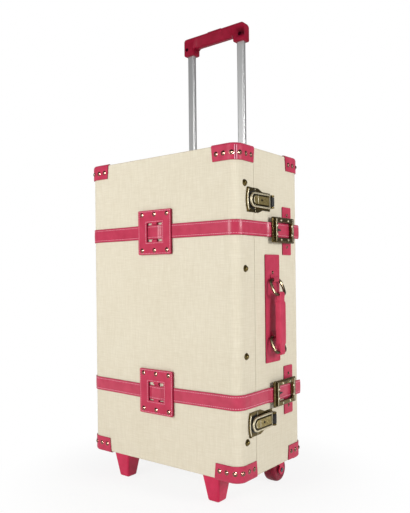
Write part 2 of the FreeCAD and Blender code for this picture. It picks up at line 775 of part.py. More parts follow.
catches, locks, pins = [], [], []
for level, sign in LEVELS.items():
    z = mid_z + sign * latch_spread
    catches.append(catch_plate(z))
    locks.append(lock_plate(z))
    reach = knuckle_height / 2 + lug_gap + lug_thickness
    pins.append(cylinder(knuckle_pin, V(pin_x, pin_y, z - reach), V(pin_x, pin_y, z + reach)))
    nodes["hasp_" + level] = hasp(z)
    nodes["lock_barrel_" + level] = lock_barrel(z)
nodes["catch_plates"] = Part.makeCompound(catches)
nodes["lock_plates"] = Part.makeCompound(locks)
nodes["hasp_pins"] = Part.makeCompound(pins)
stud = head(stud_radius, stud_dome, stud_sides)
studs = []
for spread in (stud_spread_inner, stud_spread_outer):
    for sign in (-1, 1):
        studs.append(seated(stud, V(right_x, front_y + stud_offset, mid_z + sign * spread), X))
nodes["lid_studs"] = Part.makeCompound(studs)

# Hinges on the far side
axis_x = left_x - hinge_radius - hinge_lift


def hinge_leaf(z, sign, keeps_middle):
    third = hinge_height / 3
    z0 = z - hinge_height / 2
    y0, y1 = sorted((seam_y, seam_y + sign * leaf_length))
    leaf = box(left_x - leaf_thickness, left_x, y0, y1, z0, z0 + hinge_height)
    clear = hinge_radius + knuckle_gap
    pieces, gaps = [leaf], []
    for i in range(3):
        own = (i == 1) == keeps_middle
        low, high = V(axis_x, seam_y, z0 + i * third), V(axis_x, seam_y, z0 + (i + 1) * third)
        if own:
            trim = knuckle_gap / 2
            pieces.append(cylinder(hinge_radius, low + Z * trim, high - Z * trim))
            bridge = box(axis_x, left_x, *sorted((seam_y, seam_y + sign * hinge_radius)),
                         low.z + trim, high.z - trim)
            pieces.append(bridge.common(cylinder(hinge_radius, low, high)))
        else:
            gaps.append(box(axis_x - clear, left_x, seam_y - clear, seam_y + clear,
                            low.z - knuckle_gap / 2, high.z + knuckle_gap / 2))
    body = pieces[0].cut(gaps).fuse(pieces[1:]).removeSplitter()
    bore = hinge_pin + (running_fit if keeps_middle else 0)
    return body.cut(cylinder(bore, V(axis_x, seam_y, z0), V(axis_x, seam_y, z0 + hinge_height)))


base_leaves, lid_leaves, hinge_pins = [], [], []
for sign in LEVELS.values():
    z = mid_z + sign * hinge_spread
    base_leaves.append(hinge_leaf(z, 1, False))
    lid_leaves.append(hinge_leaf(z, -1, True))
    ends = [V(axis_x, seam_y, z + s * hinge_height / 2) for s in (-1, 1)]
    hinge_pins.append(cylinder(hinge_pin, *ends))
nodes["hinge_leaves_base"] = Part.makeCompound(base_leaves)
nodes["hinge_leaves_lid"] = Part.makeCompound(lid_leaves)
nodes["hinge_pins"] = Part.makeCompound(hinge_pins)

# Carry handle: strip, two loops, two hanging rings and a flat padded grip
handle_y = seam_y + handle_from_seam
strip_x = right_x + strip_thickness
loop_x = strip_x + loop_foot_thickness + ring_wire + running_fit
handle_z = mid_z + handle_lift
droop = math.radians(ring_droop)
ring_reach = ring_length - 2 * ring_wire
grip_x = loop_x + ring_reach * math.cos(droop)
grip_drop = ring_reach * math.sin(droop)
strip = box(right_x, strip_x, handle_y - strip_width / 2, handle_y + strip_width / 2,
            handle_z - strip_length / 2, handle_z + strip_length / 2)
strip = strip.makeFillet(pad_corner, [e for e in strip.Edges if e.BoundBox.XLength > strip_thickness / 2])
strip_seats = [(V(strip_x, handle_y, handle_z + s * strip_rivet_row), X) for s in (-1, 1)]
nodes["handle_strip"] = strip
base_rivets += [seated(small_rivet, p, n) for p, n in strip_seats]


def handle_loop(z):
    y0, y1 = handle_y - loop_width / 2, handle_y + loop_width / 2
    foot = box(strip_x, strip_x + loop_foot_thickness, y0, y1, z - loop_foot / 2, z + loop_foot / 2)
    roll = cylinder(ring_wire + running_fit + loop_wall, V(loop_x, y0, z), V(loop_x, y1, z))
    roll = roll.common(box(strip_x, loop_x + loop_foot, y0, y1, z - loop_foot, z + loop_foot))
    bore = cylinder(ring_wire + running_fit, V(loop_x, y0, z), V(loop_x, y1, z))
    return foot.fuse(roll).removeSplitter().cut(bore)


def handle_ring(z):
    half, arm = ring_width / 2, 2 * ring_wire
    bars = [cylinder(ring_wire, V(x, -half, 0), V(x, half, 0)) for x in (0, ring_reach)]
    outline = rounded_wire(ring_reach + arm, arm, ring_wire, 0)
    side_arm = Part.Face(outline).extrude(Z * ring_arm)
    side_arm.rotate(V(0, 0, 0), X, -90)
    arms = [moved(side_arm, ring_reach / 2, y) for y in (-half, half - ring_arm)]
    ring = bars[0].fuse([bars[1]] + arms).removeSplitter()
    ring.rotate(V(0, 0, 0), Y, ring_droop)
    return moved(ring, loop_x, handle_y, z)


def carry_grip():
    top, bottom = handle_z + loop_spread - grip_drop, handle_z - loop_spread - grip_drop
    middle = (top + bottom) / 2
    half = grip_length / 2
    neck = ring_wire + open_pivot_fit + grip_eye_wall
    core = rounded_bar(carry_grip_thickness, carry_grip_width, carry_grip_corner, -half, half)
    core = moved(core, grip_x, handle_y, middle)
    pieces, bores = [], []
    y0, y1 = handle_y - grip_eye_width / 2, handle_y + grip_eye_width / 2
    for z, inner, fit in ((top, middle + half, running_fit), (bottom, middle - half, open_pivot_fit)):
        pieces.append(cylinder(neck, V(grip_x, y0, z), V(grip_x, y1, z)))
        z0, z1 = sorted((z, inner))
        pieces.append(box(grip_x - neck, grip_x + neck, y0, y1, z0, z1))
        bores.append(cylinder(ring_wire + fit, V(grip_x, y0, z), V(grip_x, y1, z)))
    return core.fuse(pieces).removeSplitter().cut(bores)


loops = []
for level, sign in LEVELS.items():
    z = handle_z + sign * loop_spread
    loops.append(handle_loop(z))
    nodes["handle_ring_" + level] = handle_ring(z)
nodes["handle_loops"] = Part.makeCompound(loops)
nodes["carry_grip"] = carry_grip()

nodes["base_shell"] = base_shell
nodes["lid_shell"] = lid_shell
nodes["base_rivets"] = Part.makeCompound(base_rivets)
nodes["lid_rivets"] = Part.makeCompound(lid_rivets)

# The origin is on the floor, under the middle of the space that the whole object takes
hinge_reach = axis_x - hinge_radius
handle_reach = grip_x + carry_grip_thickness / 2
pad_reach = front_y - pad_thickness - rivet_dome
rear_reach = rear_y + cap_thickness + rivet_dome
origin = V((hinge_reach + handle_reach) / 2, (pad_reach + rear_reach) / 2, 0)
os.makedirs("parts", exist_ok=True)
for name, shape in nodes.items():
    moved(shape, -origin.x, -origin.y, -origin.z).exportStep("parts/%s.step" % name)
print("nodes", len(nodes), "origin", [round(c, 3) for c in origin])
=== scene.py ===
# %% [markdown]
# A retro trolley suitcase: linen over board, crimson leather straps and corner caps, antique brass
# fittings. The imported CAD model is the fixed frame. Every piece below is drawn around it, in metres, in
# the same place.

# %% Open the frame
import math

import bmesh
import bpy
from mathutils import Matrix, Vector


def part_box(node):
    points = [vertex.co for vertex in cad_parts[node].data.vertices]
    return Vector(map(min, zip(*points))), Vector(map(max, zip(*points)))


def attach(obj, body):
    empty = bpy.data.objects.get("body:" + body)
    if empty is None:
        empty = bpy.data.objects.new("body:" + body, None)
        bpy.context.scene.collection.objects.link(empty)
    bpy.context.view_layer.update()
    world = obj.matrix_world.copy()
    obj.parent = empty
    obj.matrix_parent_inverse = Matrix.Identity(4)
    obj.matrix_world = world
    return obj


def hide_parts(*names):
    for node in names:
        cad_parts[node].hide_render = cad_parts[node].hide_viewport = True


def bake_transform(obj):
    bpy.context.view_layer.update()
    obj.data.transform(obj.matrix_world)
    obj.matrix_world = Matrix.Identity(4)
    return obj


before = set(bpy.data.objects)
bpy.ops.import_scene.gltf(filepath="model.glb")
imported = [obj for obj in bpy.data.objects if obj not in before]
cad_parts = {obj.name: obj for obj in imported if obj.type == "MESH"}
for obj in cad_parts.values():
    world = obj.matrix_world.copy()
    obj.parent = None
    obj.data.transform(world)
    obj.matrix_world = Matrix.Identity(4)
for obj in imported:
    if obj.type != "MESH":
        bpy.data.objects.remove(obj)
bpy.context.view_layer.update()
MM = 0.001
SEAM_GAP = 0.7 * MM


def join_boxes(*nodes):
    corners = [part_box(n) for n in nodes]
    low = Vector([min(c[0][i] for c in corners) for i in range(3)])
    return low, Vector([max(c[1][i] for c in corners) for i in range(3)])


case_low, case_high = join_boxes("lid_shell", "base_shell")
case_middle = (case_low + case_high) / 2
left, front, bottom = case_low
right, rear, top = case_high
base_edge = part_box("base_rim")[0].y
lid_edge = base_edge - SEAM_GAP
print("case", [round(c, 4) for c in (*case_low, *case_high)], "seam at", round(base_edge, 4))

# %% [markdown]
# The camera comes first, because everything is judged through it. The photograph was taken level, from the
# front right, a little over a metre away. A camera that is tilted towards the case would make its upright
# edges lean together, so the lens is shifted up instead, as in the photograph.

# %% Camera
FRAME_LONG_SIDE, FOCAL_PIXELS, SHIFT_PIXELS = 513, 586.4, 17.6
EYE_FROM_LOWER_EDGE = Vector((776.8, -843.3, 369.4)) * MM
yaw, roll = math.radians(38.02), math.radians(-0.64)
eye = Vector((case_middle.x, front, bottom)) + EYE_FROM_LOWER_EDGE
across, upward = Vector((math.cos(yaw), math.sin(yaw), 0)), Vector((0, 0, 1))
away = Vector((-math.sin(yaw), math.cos(yaw), 0))
camera = bpy.data.objects.new("camera", bpy.data.cameras.new("camera"))
camera.data.lens = FOCAL_PIXELS * camera.data.sensor_width / FRAME_LONG_SIDE
camera.data.shift_y = SHIFT_PIXELS / FRAME_LONG_SIDE
tilt_right = across * math.cos(roll) + upward * math.sin(roll)
tilt_up = upward * math.cos(roll) - across * math.sin(roll)
turned = Matrix((tilt_right, tilt_up, -away)).transposed().to_4x4()
camera.matrix_world = Matrix.Translation(eye) @ turned
bpy.context.scene.collection.objects.link(camera)
bpy.context.scene.camera = camera
bpy.context.scene.view_settings.view_transform = "Standard"
print("camera at", [round(c, 3) for c in eye], "lens", round(camera.data.lens, 2))

# %% [markdown]
# Every finish, and the light, is a small tree of nodes. Trees could be drawn in the node editor; in code,
# a function that adds a node and fills or links its sockets in one line keeps them short. Another one
# tells what is seen directly, or in a mirror, from what only sends light.


# %% Node helpers
def shader_tree(tree):
    tree.nodes.clear()

    def add(kind, **inputs):
        node = tree.nodes.new(kind)
        for key, value in inputs.items():
            by_number = key[0] == "i" and key[1:].isdigit()
            socket = node.inputs[int(key[1:]) if by_number else key.replace("_", " ")]
            if isinstance(value, bpy.types.NodeSocket):
                tree.links.new(value, socket)
            else:
                socket.default_value = value
        return node
    return add


def add_math(add, operation, a, b=0.0):
    node = add("ShaderNodeMath", i0=a, i1=b)
    node.operation = operation
    return node.outputs[0]


def seen_directly(add):
    path = add("ShaderNodeLightPath").outputs
    straight = add_math(add, "MAXIMUM", path["Is Camera Ray"], path["Is Transmission Ray"])
    return straight, add_math(add, "MAXIMUM", straight, path["Is Glossy Ray"]), path["Is Glossy Ray"]


print("node helpers", shader_tree.__name__, add_math.__name__, seen_directly.__name__)

# %% [markdown]
# The light of a studio comes from all round, so a pale world gives the even part of it. A ring of lamps
# could do the same, but each would show as a spot in the brass. The background is white because camera
# rays see the world at strength 1, while the light that falls on the case is set apart from that. Shiny
# pieces see the same white backdrop behind the case, and a darker room elsewhere, which gives metal its
# depth.

# %% World
ROOM_LIGHT, ROOM_SHADE = 0.37, 0.16
world = bpy.data.worlds.new("studio")
world.use_nodes = True
bpy.context.scene.world = world
add = shader_tree(world.node_tree)
behind = add("ShaderNodeVectorMath", i0=add("ShaderNodeTexCoord").outputs["Generated"], i1=away)
behind.operation = "DOT_PRODUCT"
room = add("ShaderNodeMapRange", Value=behind.outputs["Value"],
           From_Min=0.3, From_Max=0.95, To_Min=ROOM_SHADE, To_Max=1.0)
straight, _, mirrored = seen_directly(add)
shone = add("ShaderNodeMix", Factor=mirrored, A=ROOM_LIGHT, B=room.outputs[0])
level = add("ShaderNodeMix", Factor=straight, A=shone.outputs[0], B=1.0)
sky = add("ShaderNodeBackground", Color=(1, 1, 1, 1), Strength=level.outputs[0])
add("ShaderNodeOutputWorld", Surface=sky.outputs[0])
print("world", world.name, "lights the case at", ROOM_LIGHT)

# %% [markdown]
# A softbox to the left of the camera and one on the right shape the case. Two more lamps are linked to a
# few pieces only. The glint shows in the reflections of the lid's rivets and of the handle's rings, and a
# weak lamp lights the carry grip, which the case shades. One stronger lamp could do both, but it would
# bleach the linen.


# %% Lamps
def lamp(name, place, aim, width, height, power):
    light = bpy.data.lights.new(name, "AREA")
    light.shape, light.size, light.size_y, light.energy = "RECTANGLE", width, height, power
    obj = bpy.data.objects.new(name, light)
    obj.location = place
    obj.rotation_euler = (Vector(aim) - Vector(place)).to_track_quat("-Z", "Y").to_euler()
    bpy.context.scene.collection.objects.link(obj)
    return obj


aim = (0, 0, 0.35)
lamp("softbox_front", (-0.3, -2.05, 0.8), aim, 0.9, 0.9, 24)
lamp("softbox_right", (2.1, 0.16, 0.9), aim, 0.6, 0.6, 21)
glint = lamp("glint", (1.3, -1.65, 0.6), aim, 0.5, 0.5, 125)
glint.visible_diffuse = False
handle_light = lamp("handle_light", (0.4, -2.0, 0.5), (0.2, 0, 0.38), 0.5, 0.5, 11)

# %% [markdown]
# The floor is plain and pale. A small plane would show its edge, and a bent backdrop would throw light on
# the case, so it is a wide disc. Near the case it is an ordinary matt surface, which holds the shadow;
# further out it fades to the white of the background, so that no horizon shows.

# %% Floor
FLOOR_RADIUS, SHADOW_REACH, FADE_END = 3.0, 0.2, 0.45
bm = bmesh.new()
bmesh.ops.create_circle(bm, cap_ends=True, segments=64, radius=FLOOR_RADIUS)
mesh = bpy.data.meshes.new("floor")
bm.to_mesh(mesh)
bm.free()
floor = bpy.data.objects.new("floor", mesh)
bpy.context.scene.collection.objects.link(floor)
floor_finish = bpy.data.materials.new("pale_floor")
floor_finish.use_nodes = True
add = shader_tree(floor_finish.node_tree)
far = add("ShaderNodeVectorMath", i0=add("ShaderNodeTexCoord").outputs["Object"])
far.operation = "LENGTH"
fade = add("ShaderNodeMapRange", Value=far.outputs["Value"],
           From_Min=SHADOW_REACH, From_Max=FADE_END, To_Min=0.86)
fade.interpolation_type = "SMOOTHSTEP"
matt = add("ShaderNodeBsdfDiffuse", Color=(0.93, 0.93, 0.93, 1))
glow = add("ShaderNodeEmission", Color=(1, 1, 1, 1), Strength=1.0)
share = add_math(add, "MULTIPLY", fade.outputs[0], seen_directly(add)[1])
blended = add("ShaderNodeMixShader", Fac=share, i1=matt.outputs[0], i2=glow.outputs[0])
add("ShaderNodeOutputMaterial", Surface=blended.outputs[0])
mesh.materials.append(floor_finish)
print("floor radius", FLOOR_RADIUS, "m")

# %% [markdown]
# Finishes are built from nodes on Object coordinates, so a weave or a grain keeps its real size on every
# piece. Pictures of cloth and leather could be wrapped round instead, but they would need every mesh
# unwrapped, and they repeat. One small function starts a finish, one makes stretched noise, and one turns
# a height into bump.


# %% Finish helpers
def start_finish(name, roughness, metallic=0.0):
    finish = bpy.data.materials.new(name)
    finish.use_nodes = True
    add = shader_tree(finish.node_tree)
    body = add("ShaderNodeBsdfPrincipled", Roughness=roughness, Metallic=metallic)
    add("ShaderNodeOutputMaterial", Surface=body.outputs[0])
    return finish, add, body


def stretched(add, scale, detail=3.0):
    place = add("ShaderNodeMapping", Vector=add("ShaderNodeTexCoord").outputs["Object"], Scale=scale)
    return add("ShaderNodeTexNoise", Vector=place.outputs[0], Scale=1.0, Detail=detail).outputs["Fac"]


def graded(add, amount, low, high, start=0.3, end=0.7):
    ramp = add("ShaderNodeValToRGB", Fac=amount)
    ramp.color_ramp.elements[0].position, ramp.color_ramp.elements[1].position = start, end
    ramp.color_ramp.elements[0].color, ramp.color_ramp.elements[1].color = (*low, 1), (*high, 1)
    return ramp.outputs["Color"]


def plug(body, socket, value):
    body.id_data.links.new(value, body.inputs[socket])


def raise_bump(add, body, height, strength, distance):
    bump = add("ShaderNodeBump", Height=height, Strength=strength, Distance=distance)
    plug(body, "Normal", bump.outputs[0])


def spread(add, amount, low, high):
    scaled = add("ShaderNodeMapRange", Value=amount, From_Min=0.3, From_Max=0.7, To_Min=low, To_Max=high)
    return scaled.outputs[0]


print("finish helpers", *(f.__name__ for f in (start_finish, stretched, graded, plug, raise_bump, spread)))

# %% [markdown]
# The case is covered in natural linen: two sets of threads, level and upright, with thicker slubs here and
# there. Real threads would take millions of faces, so each set is a noise that is stretched along its own
# way. The colour follows the threads a little, and the bump follows them more.

# %% Linen
linen, add, body = start_finish("natural_linen", 0.82)
level_threads = stretched(add, (45, 45, 1100), 2.0)
upright_threads = stretched(add, (1100, 1100, 45), 2.0)
slubs = add_math(add, "MULTIPLY", stretched(add, (38, 38, 520)), stretched(add, (520, 520, 38)))
mottle = stretched(add, (7, 7, 7), 4.0)
threads = add_math(add, "ADD", level_threads, upright_threads)
shade = add_math(add, "ADD", add_math(add, "MULTIPLY", threads, 0.28), add_math(add, "MULTIPLY", slubs, 0.9))
shade = add_math(add, "ADD", shade, add_math(add, "MULTIPLY", mottle, 0.25))
plug(body, "Base Color", graded(add, shade, (0.69, 0.622, 0.475), (0.775, 0.715, 0.572), 0.46, 0.80))
raise_bump(add, body, add_math(add, "ADD", threads, slubs), 0.22, 0.0004)
body.inputs["Specular IOR Level"].default_value = 0.25
print("finish", linen.name)

# %% [markdown]
# Straps, pads, caps and tabs are dyed leather, pebbled and never quite even in colour. The grain could be
# sculpted, but its pebbles are about a millimetre wide, so a Voronoi pattern raised as bump does as well.
# A thin coat makes leather shine where it bends, and the straps are polished more than the rest. The cut
# edges are painted darker, so they have a finish of their own.


# %% Leather
def leather_finish(name, low, high, roughness, coat):
    finish, add, body = start_finish(name, roughness)
    plug(body, "Base Color", graded(add, stretched(add, (55, 55, 55), 5.0), low, high))
    place = add("ShaderNodeTexCoord").outputs["Object"]
    pebbles = add("ShaderNodeTexVoronoi", Vector=place, Scale=850.0)
    grain = add_math(add, "ADD", pebbles.outputs["Distance"], stretched(add, (420, 420, 420)))
    raise_bump(add, body, grain, 0.22, 0.0003)
    plug(body, "Roughness", spread(add, stretched(add, (140, 140, 140)), roughness - 0.06, roughness + 0.1))
    body.inputs["Specular IOR Level"].default_value = 0.2
    body.inputs["Coat Weight"].default_value = coat
    body.inputs["Coat Roughness"].default_value = 0.22
    return finish


CRIMSON = (0.47, 0.03, 0.074), (0.56, 0.044, 0.1)
leather = leather_finish("crimson_leather", *CRIMSON, 0.44, 0.05)
strap_leather = leather_finish("polished_leather", *CRIMSON, 0.40, 0.45)
leather_edge = leather_finish("painted_leather_edge", (0.24, 0.008, 0.03), (0.33, 0.016, 0.05), 0.55, 0.0)
thread, add, body = start_finish("waxed_thread", 0.6)
plug(body, "Base Color", graded(add, stretched(add, (900, 900, 900)), (0.76, 0.29, 0.39), (0.89, 0.47, 0.56)))
raise_bump(add, body, stretched(add, (2600, 2600, 2600)), 0.3, 0.0002)
print("finishes", leather.name, strap_leather.name, leather_edge.name, thread.name)

# %% [markdown]
# The fittings are antique brass, dark in the hollows and rubbed brighter where hands reach it. That wear
# could be painted on each piece; a cloudy noise that mixes two tones, and makes the dark ones duller,
# suits them all. The rivets' red-brown tone is a painted reflection of the crimson leather round them. The
# hasp bows and the buckles' beads are a pale gold, which on the beads, the ridges, the catch rims and the
# barrels' ends is partly painted highlight. The edges of the locks are nickel, partly painted highlight as
# well, and the tubes are brushed, which is a noise stretched along their length.


# %% Metals
def metal_finish(name, dark, bright, dull, polished, scale, bump=0.12):
    finish, add, body = start_finish(name, polished, 1.0)
    clouds = stretched(add, scale, 6.0)
    plug(body, "Base Color", graded(add, clouds, dark, bright, 0.38, 0.66))
    plug(body, "Roughness", spread(add, clouds, dull, polished))
    raise_bump(add, body, clouds, bump, 0.0002)
    return finish


FINE, EVEN = (260, 260, 260), (240, 240, 240)
brass = metal_finish("antique_brass", (0.07, 0.05, 0.016), (0.21, 0.155, 0.055), 0.34, 0.22, FINE)
# The rivets' red-brown tone is a painted reflection of the crimson leather round them.
rivet_brass_painted_reflection = metal_finish("rivet_brass_painted_reflection", (0.19, 0.095, 0.07), (0.25, 0.135, 0.10), 0.17, 0.14, FINE, 0.01)
ring_brass = metal_finish("ring_brass", (0.08, 0.06, 0.035), (0.17, 0.135, 0.085), 0.32, 0.26, FINE)
rubbed_brass = metal_finish("rubbed_brass", (0.25, 0.19, 0.07), (0.46, 0.37, 0.16), 0.52, 0.40,
                            (300, 300, 300))
# Pale gold: the bows' own colour, and partly painted highlight on beads, ridges, catch rims and barrel ends.
pale_gold_and_painted_highlight = metal_finish("pale_gold_and_painted_highlight", (0.62, 0.55, 0.38), (0.86, 0.79, 0.60), 0.50, 0.38, EVEN)
# The nickel of the lock edges is partly painted highlight along the plate's edge.
nickel = metal_finish("nickel_and_edge_highlight", (0.30, 0.26, 0.17), (0.58, 0.52, 0.37), 0.32, 0.18, EVEN)
aluminium = metal_finish("brushed_aluminium", (0.66, 0.665, 0.66), (0.73, 0.735, 0.73), 0.40, 0.34,
                         (1500, 1500, 7), 0.02)
steel = metal_finish("dark_steel", (0.05, 0.05, 0.052), (0.16, 0.16, 0.165), 0.5, 0.32, (300, 300, 300))
metals = (brass, rivet_brass_painted_reflection, ring_brass, rubbed_brass, pale_gold_and_painted_highlight, nickel, aluminium, steel)
print("metals", [metal.name for metal in metals])

# %% [markdown]
# Feet, wheel forks and the pull-out grip are moulded plastic with a fine spark-eroded texture, which one
# fine noise gives. The tyres are of the same colour family but softer and duller. The lining is a woven
# satin with diamond quilting. Padded diamonds could be modelled, but they show only when the lid is open,
# so two crossed waves draw them.


# %% Plastics, rubber and lining
def moulded_finish(name, low, high, roughness, bump, shine=0.3):
    finish, add, body = start_finish(name, roughness)
    plug(body, "Base Color", graded(add, stretched(add, (70, 70, 70), 5.0), low, high))
    plug(body, "Roughness", spread(add, stretched(add, (180, 180, 180)), roughness - 0.05, roughness + 0.08))
    raise_bump(add, body, stretched(add, (1900, 1900, 1900)), bump, 0.0002)
    body.inputs["Specular IOR Level"].default_value = shine
    return finish


foot_plastic = moulded_finish("crimson_plastic", (0.53, 0.012, 0.062), (0.62, 0.02, 0.088), 0.36, 0.10)
grip_plastic = moulded_finish("deep_crimson_plastic", (0.25, 0.004, 0.022), (0.31, 0.007, 0.032),
                              0.40, 0.15, 0.12)
tyre_rubber = moulded_finish("crimson_tyre", (0.19, 0.004, 0.02), (0.27, 0.009, 0.036), 0.5, 0.2)
# Near-black: painted shade of the screws' sunk holes.
screw_shade_plastic = moulded_finish("sunk_screw_painted_shade", (0.018, 0.001, 0.003), (0.03, 0.002, 0.006), 0.6, 0.1, 0.0)
black_plastic = moulded_finish("black_plastic", (0.012, 0.012, 0.011), (0.022, 0.021, 0.019), 0.38, 0.1)
QUILT_WAVES = 70.0
lining, add, body = start_finish("quilted_lining", 0.55)
plug(body, "Base Color", graded(add, stretched(add, (30, 30, 30)), (0.62, 0.50, 0.36), (0.70, 0.59, 0.45)))
spot = add("ShaderNodeSeparateXYZ", Vector=add("ShaderNodeTexCoord").outputs["Object"])
along = add_math(add, "ADD", spot.outputs[0], spot.outputs[1])
waves = []
for way in ("ADD", "SUBTRACT"):
    slope = add_math(add, "MULTIPLY", add_math(add, way, along, spot.outputs[2]), QUILT_WAVES)
    waves.append(add_math(add, "ABSOLUTE", add_math(add, "SINE", slope)))
quilts = add_math(add, "MULTIPLY", *waves)
raise_bump(add, body, quilts, 0.6, 0.004)
print("finishes", foot_plastic.name, grip_plastic.name, tyre_rubber.name, black_plastic.name, lining.name)

# %% [markdown]
# Every piece goes through one function, so that none is left without a finish. It turns the bmesh into an
# object, lets it ride on its body when it is given one, hides the CAD nodes that it stands for, and adds the
# wall and the softened edge. These two could be modelled as well, but as modifiers they stay easy to change.


# %% Piece helpers
def dress(obj, wall=0.0, wall_side=-1.0, edge=0.0, inner=0, rim=0, segments=2):
    if wall:
        solid = obj.modifiers.new("wall", "SOLIDIFY")
        solid.thickness, solid.offset, solid.use_even_offset = wall, wall_side, True
        solid.material_offset, solid.material_offset_rim = inner, rim
    if edge:
        bevel = obj.modifiers.new("soft_edge", "BEVEL")
        bevel.width, bevel.segments, bevel.limit_method = edge, segments, "ANGLE"
        bevel.angle_limit = math.radians(38)
    obj.modifiers.new("normals", "WEIGHTED_NORMAL").keep_sharp = True


def piece(name, bm, finishes, body, slot, stands_for=(), sharp=40, **dressing):
    mesh = bpy.data.meshes.new(name)
    bm.to_mesh(mesh)
    bm.free()
    for finish in finishes:
        mesh.materials.append(finish)
    mesh.shade_smooth()
    mesh.set_sharp_from_angle(angle=math.radians(sharp))
    obj = bpy.data.objects.new(name, mesh)
    bpy.context.scene.collection.objects.link(obj)
    dress(obj, **dressing)
    if body:
        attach(obj, body)
    if stands_for:
        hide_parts(*stands_for)
    return obj


def settle(obj):
    graph = bpy.context.evaluated_depsgraph_get()
    mesh = bpy.data.meshes.new_from_object(obj.evaluated_get(graph))
    obj.modifiers.clear()
    obj.data = mesh


print("piece helpers", dress.__name__, piece.__name__, settle.__name__)

# %% [markdown]
# Leather and board are cut and bent, so the shapes below are mostly surfaces that planes cut. Bisecting
# does that cleanly, where a boolean would need closed solids. A few short functions name these steps: cut
# away, score, round, pick what an extrusion made, and put a piece on the case's right side or front.


# %% Cutting and placing helpers
def everything(bm):
    return bm.verts[:] + bm.edges[:] + bm.faces[:]


def with_borders(faces):
    return faces + list({e for f in faces for e in f.edges}) + list({v for f in faces for v in f.verts})


def cut_away(bm, point, normal):
    bmesh.ops.bisect_plane(bm, geom=everything(bm), dist=1e-7, plane_co=point, plane_no=normal,
                           clear_outer=True)


def score(bm, point, normal, faces=None):
    geom = with_borders(faces) if faces else everything(bm)
    bmesh.ops.bisect_plane(bm, geom=geom, dist=1e-7, plane_co=point, plane_no=normal)


def round_edges(bm, edges, radius, segments, affect="EDGES"):
    bmesh.ops.bevel(bm, geom=edges, offset=radius, offset_type="OFFSET", affect=affect,
                    segments=segments, profile=0.5, material=-1)


def verts_in(made):
    return [g for g in made if isinstance(g, bmesh.types.BMVert)]


def edges_in(made, verts=None):
    edges, wanted = [g for g in made if isinstance(g, bmesh.types.BMEdge)], set(verts or ())
    return [e for e in edges if verts is None or set(e.verts) <= wanted]


def put(bm, matrix):
    bmesh.ops.transform(bm, matrix=matrix, verts=bm.verts)


def on_side(y, z, x):
    return Matrix.Translation((x, y, z)) @ Matrix(((0, 0, 1), (1, 0, 0), (0, 1, 0))).to_4x4()


def on_front(x, z, y):
    return Matrix.Translation((x, y, z)) @ Matrix(((1, 0, 0), (0, 0, -1), (0, 1, 0))).to_4x4()


print("right side at", round(right, 4), "front at", round(front, 4))

# %% [markdown]
# The case is a box of board, covered with linen. Its upright edges are rounded generously, its top and
# bottom rims only a little. Two boxes, one for the base and one for the lid, would have to be matched at
# the seam. So one rounded surface is made, and cut at the seam it gives both covers, and further on the
# corner caps.

# %% Rounded surface of the case
UPRIGHT_RADIUS, RIM_RADIUS, WALL = 20 * MM, 3 * MM, 5 * MM


def climb_of(edge):
    return abs(edge.verts[0].co.z - edge.verts[1].co.z)


def case_surface():
    bm = bmesh.new()
    bmesh.ops.create_cube(bm, size=1.0)
    size = case_high - case_low
    bmesh.ops.scale(bm, vec=size, verts=bm.verts)
    bmesh.ops.translate(bm, vec=case_middle, verts=bm.verts)
    round_edges(bm, [e for e in bm.edges if climb_of(e) > size.z / 2], UPRIGHT_RADIUS, 10)
    round_edges(bm, [e for e in bm.edges if climb_of(e) < MM], RIM_RADIUS, 3)
    return bm


print("upright edges", UPRIGHT_RADIUS / MM, "mm, rims", RIM_RADIUS / MM, "mm")

# %% [markdown]
# The base's cover has two holes in its top, through which the tubes slide. A boolean could cut them, but
# it leaves long thin faces. Instead the top is scored along the sides of each hole, and what lies inside
# is taken out.

# %% Covers of the base and the lid
GUIDE_WIDE, COVER_EDGE = 21.5 * MM, 0.8 * MM
guide_low, guide_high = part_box("trolley_guides")
hole_spans = ((guide_low.x, guide_low.x + GUIDE_WIDE), (guide_high.x - GUIDE_WIDE, guide_high.x))


def top_faces(bm):
    return [f for f in bm.faces if f.normal.z > 0.99]


bm = case_surface()
cut_away(bm, (0, base_edge, 0), (0, -1, 0))
for span in hole_spans:
    for x in span:
        score(bm, (x, 0, 0), (1, 0, 0), top_faces(bm))
for y in (guide_low.y, guide_high.y):
    score(bm, (0, y, 0), (0, 1, 0), top_faces(bm))
holes = []
for f in top_faces(bm):
    middle = f.calc_center_median()
    if guide_low.y < middle.y < guide_high.y and any(a < middle.x < b for a, b in hole_spans):
        holes.append(f)
bmesh.ops.delete(bm, geom=holes, context="FACES")
print("holes for the tubes", len(holes))
piece("base_cover", bm, [linen, lining], "base", "linen", ["base_shell", "base_rim"],
      wall=WALL, edge=COVER_EDGE, inner=1)
bm = case_surface()
cut_away(bm, (0, lid_edge, 0), (0, 1, 0))
piece("lid_cover", bm, [linen, lining], "lid", "linen", ["lid_shell"], wall=WALL, edge=COVER_EDGE, inner=1)

# %% [markdown]
# Inside the lid's edge sits a thin tongue, which enters the base when the case shuts. It could be cut from
# the cover's inner wall; a box with two open sides, given a wall of its own, is simpler and keeps its gap.

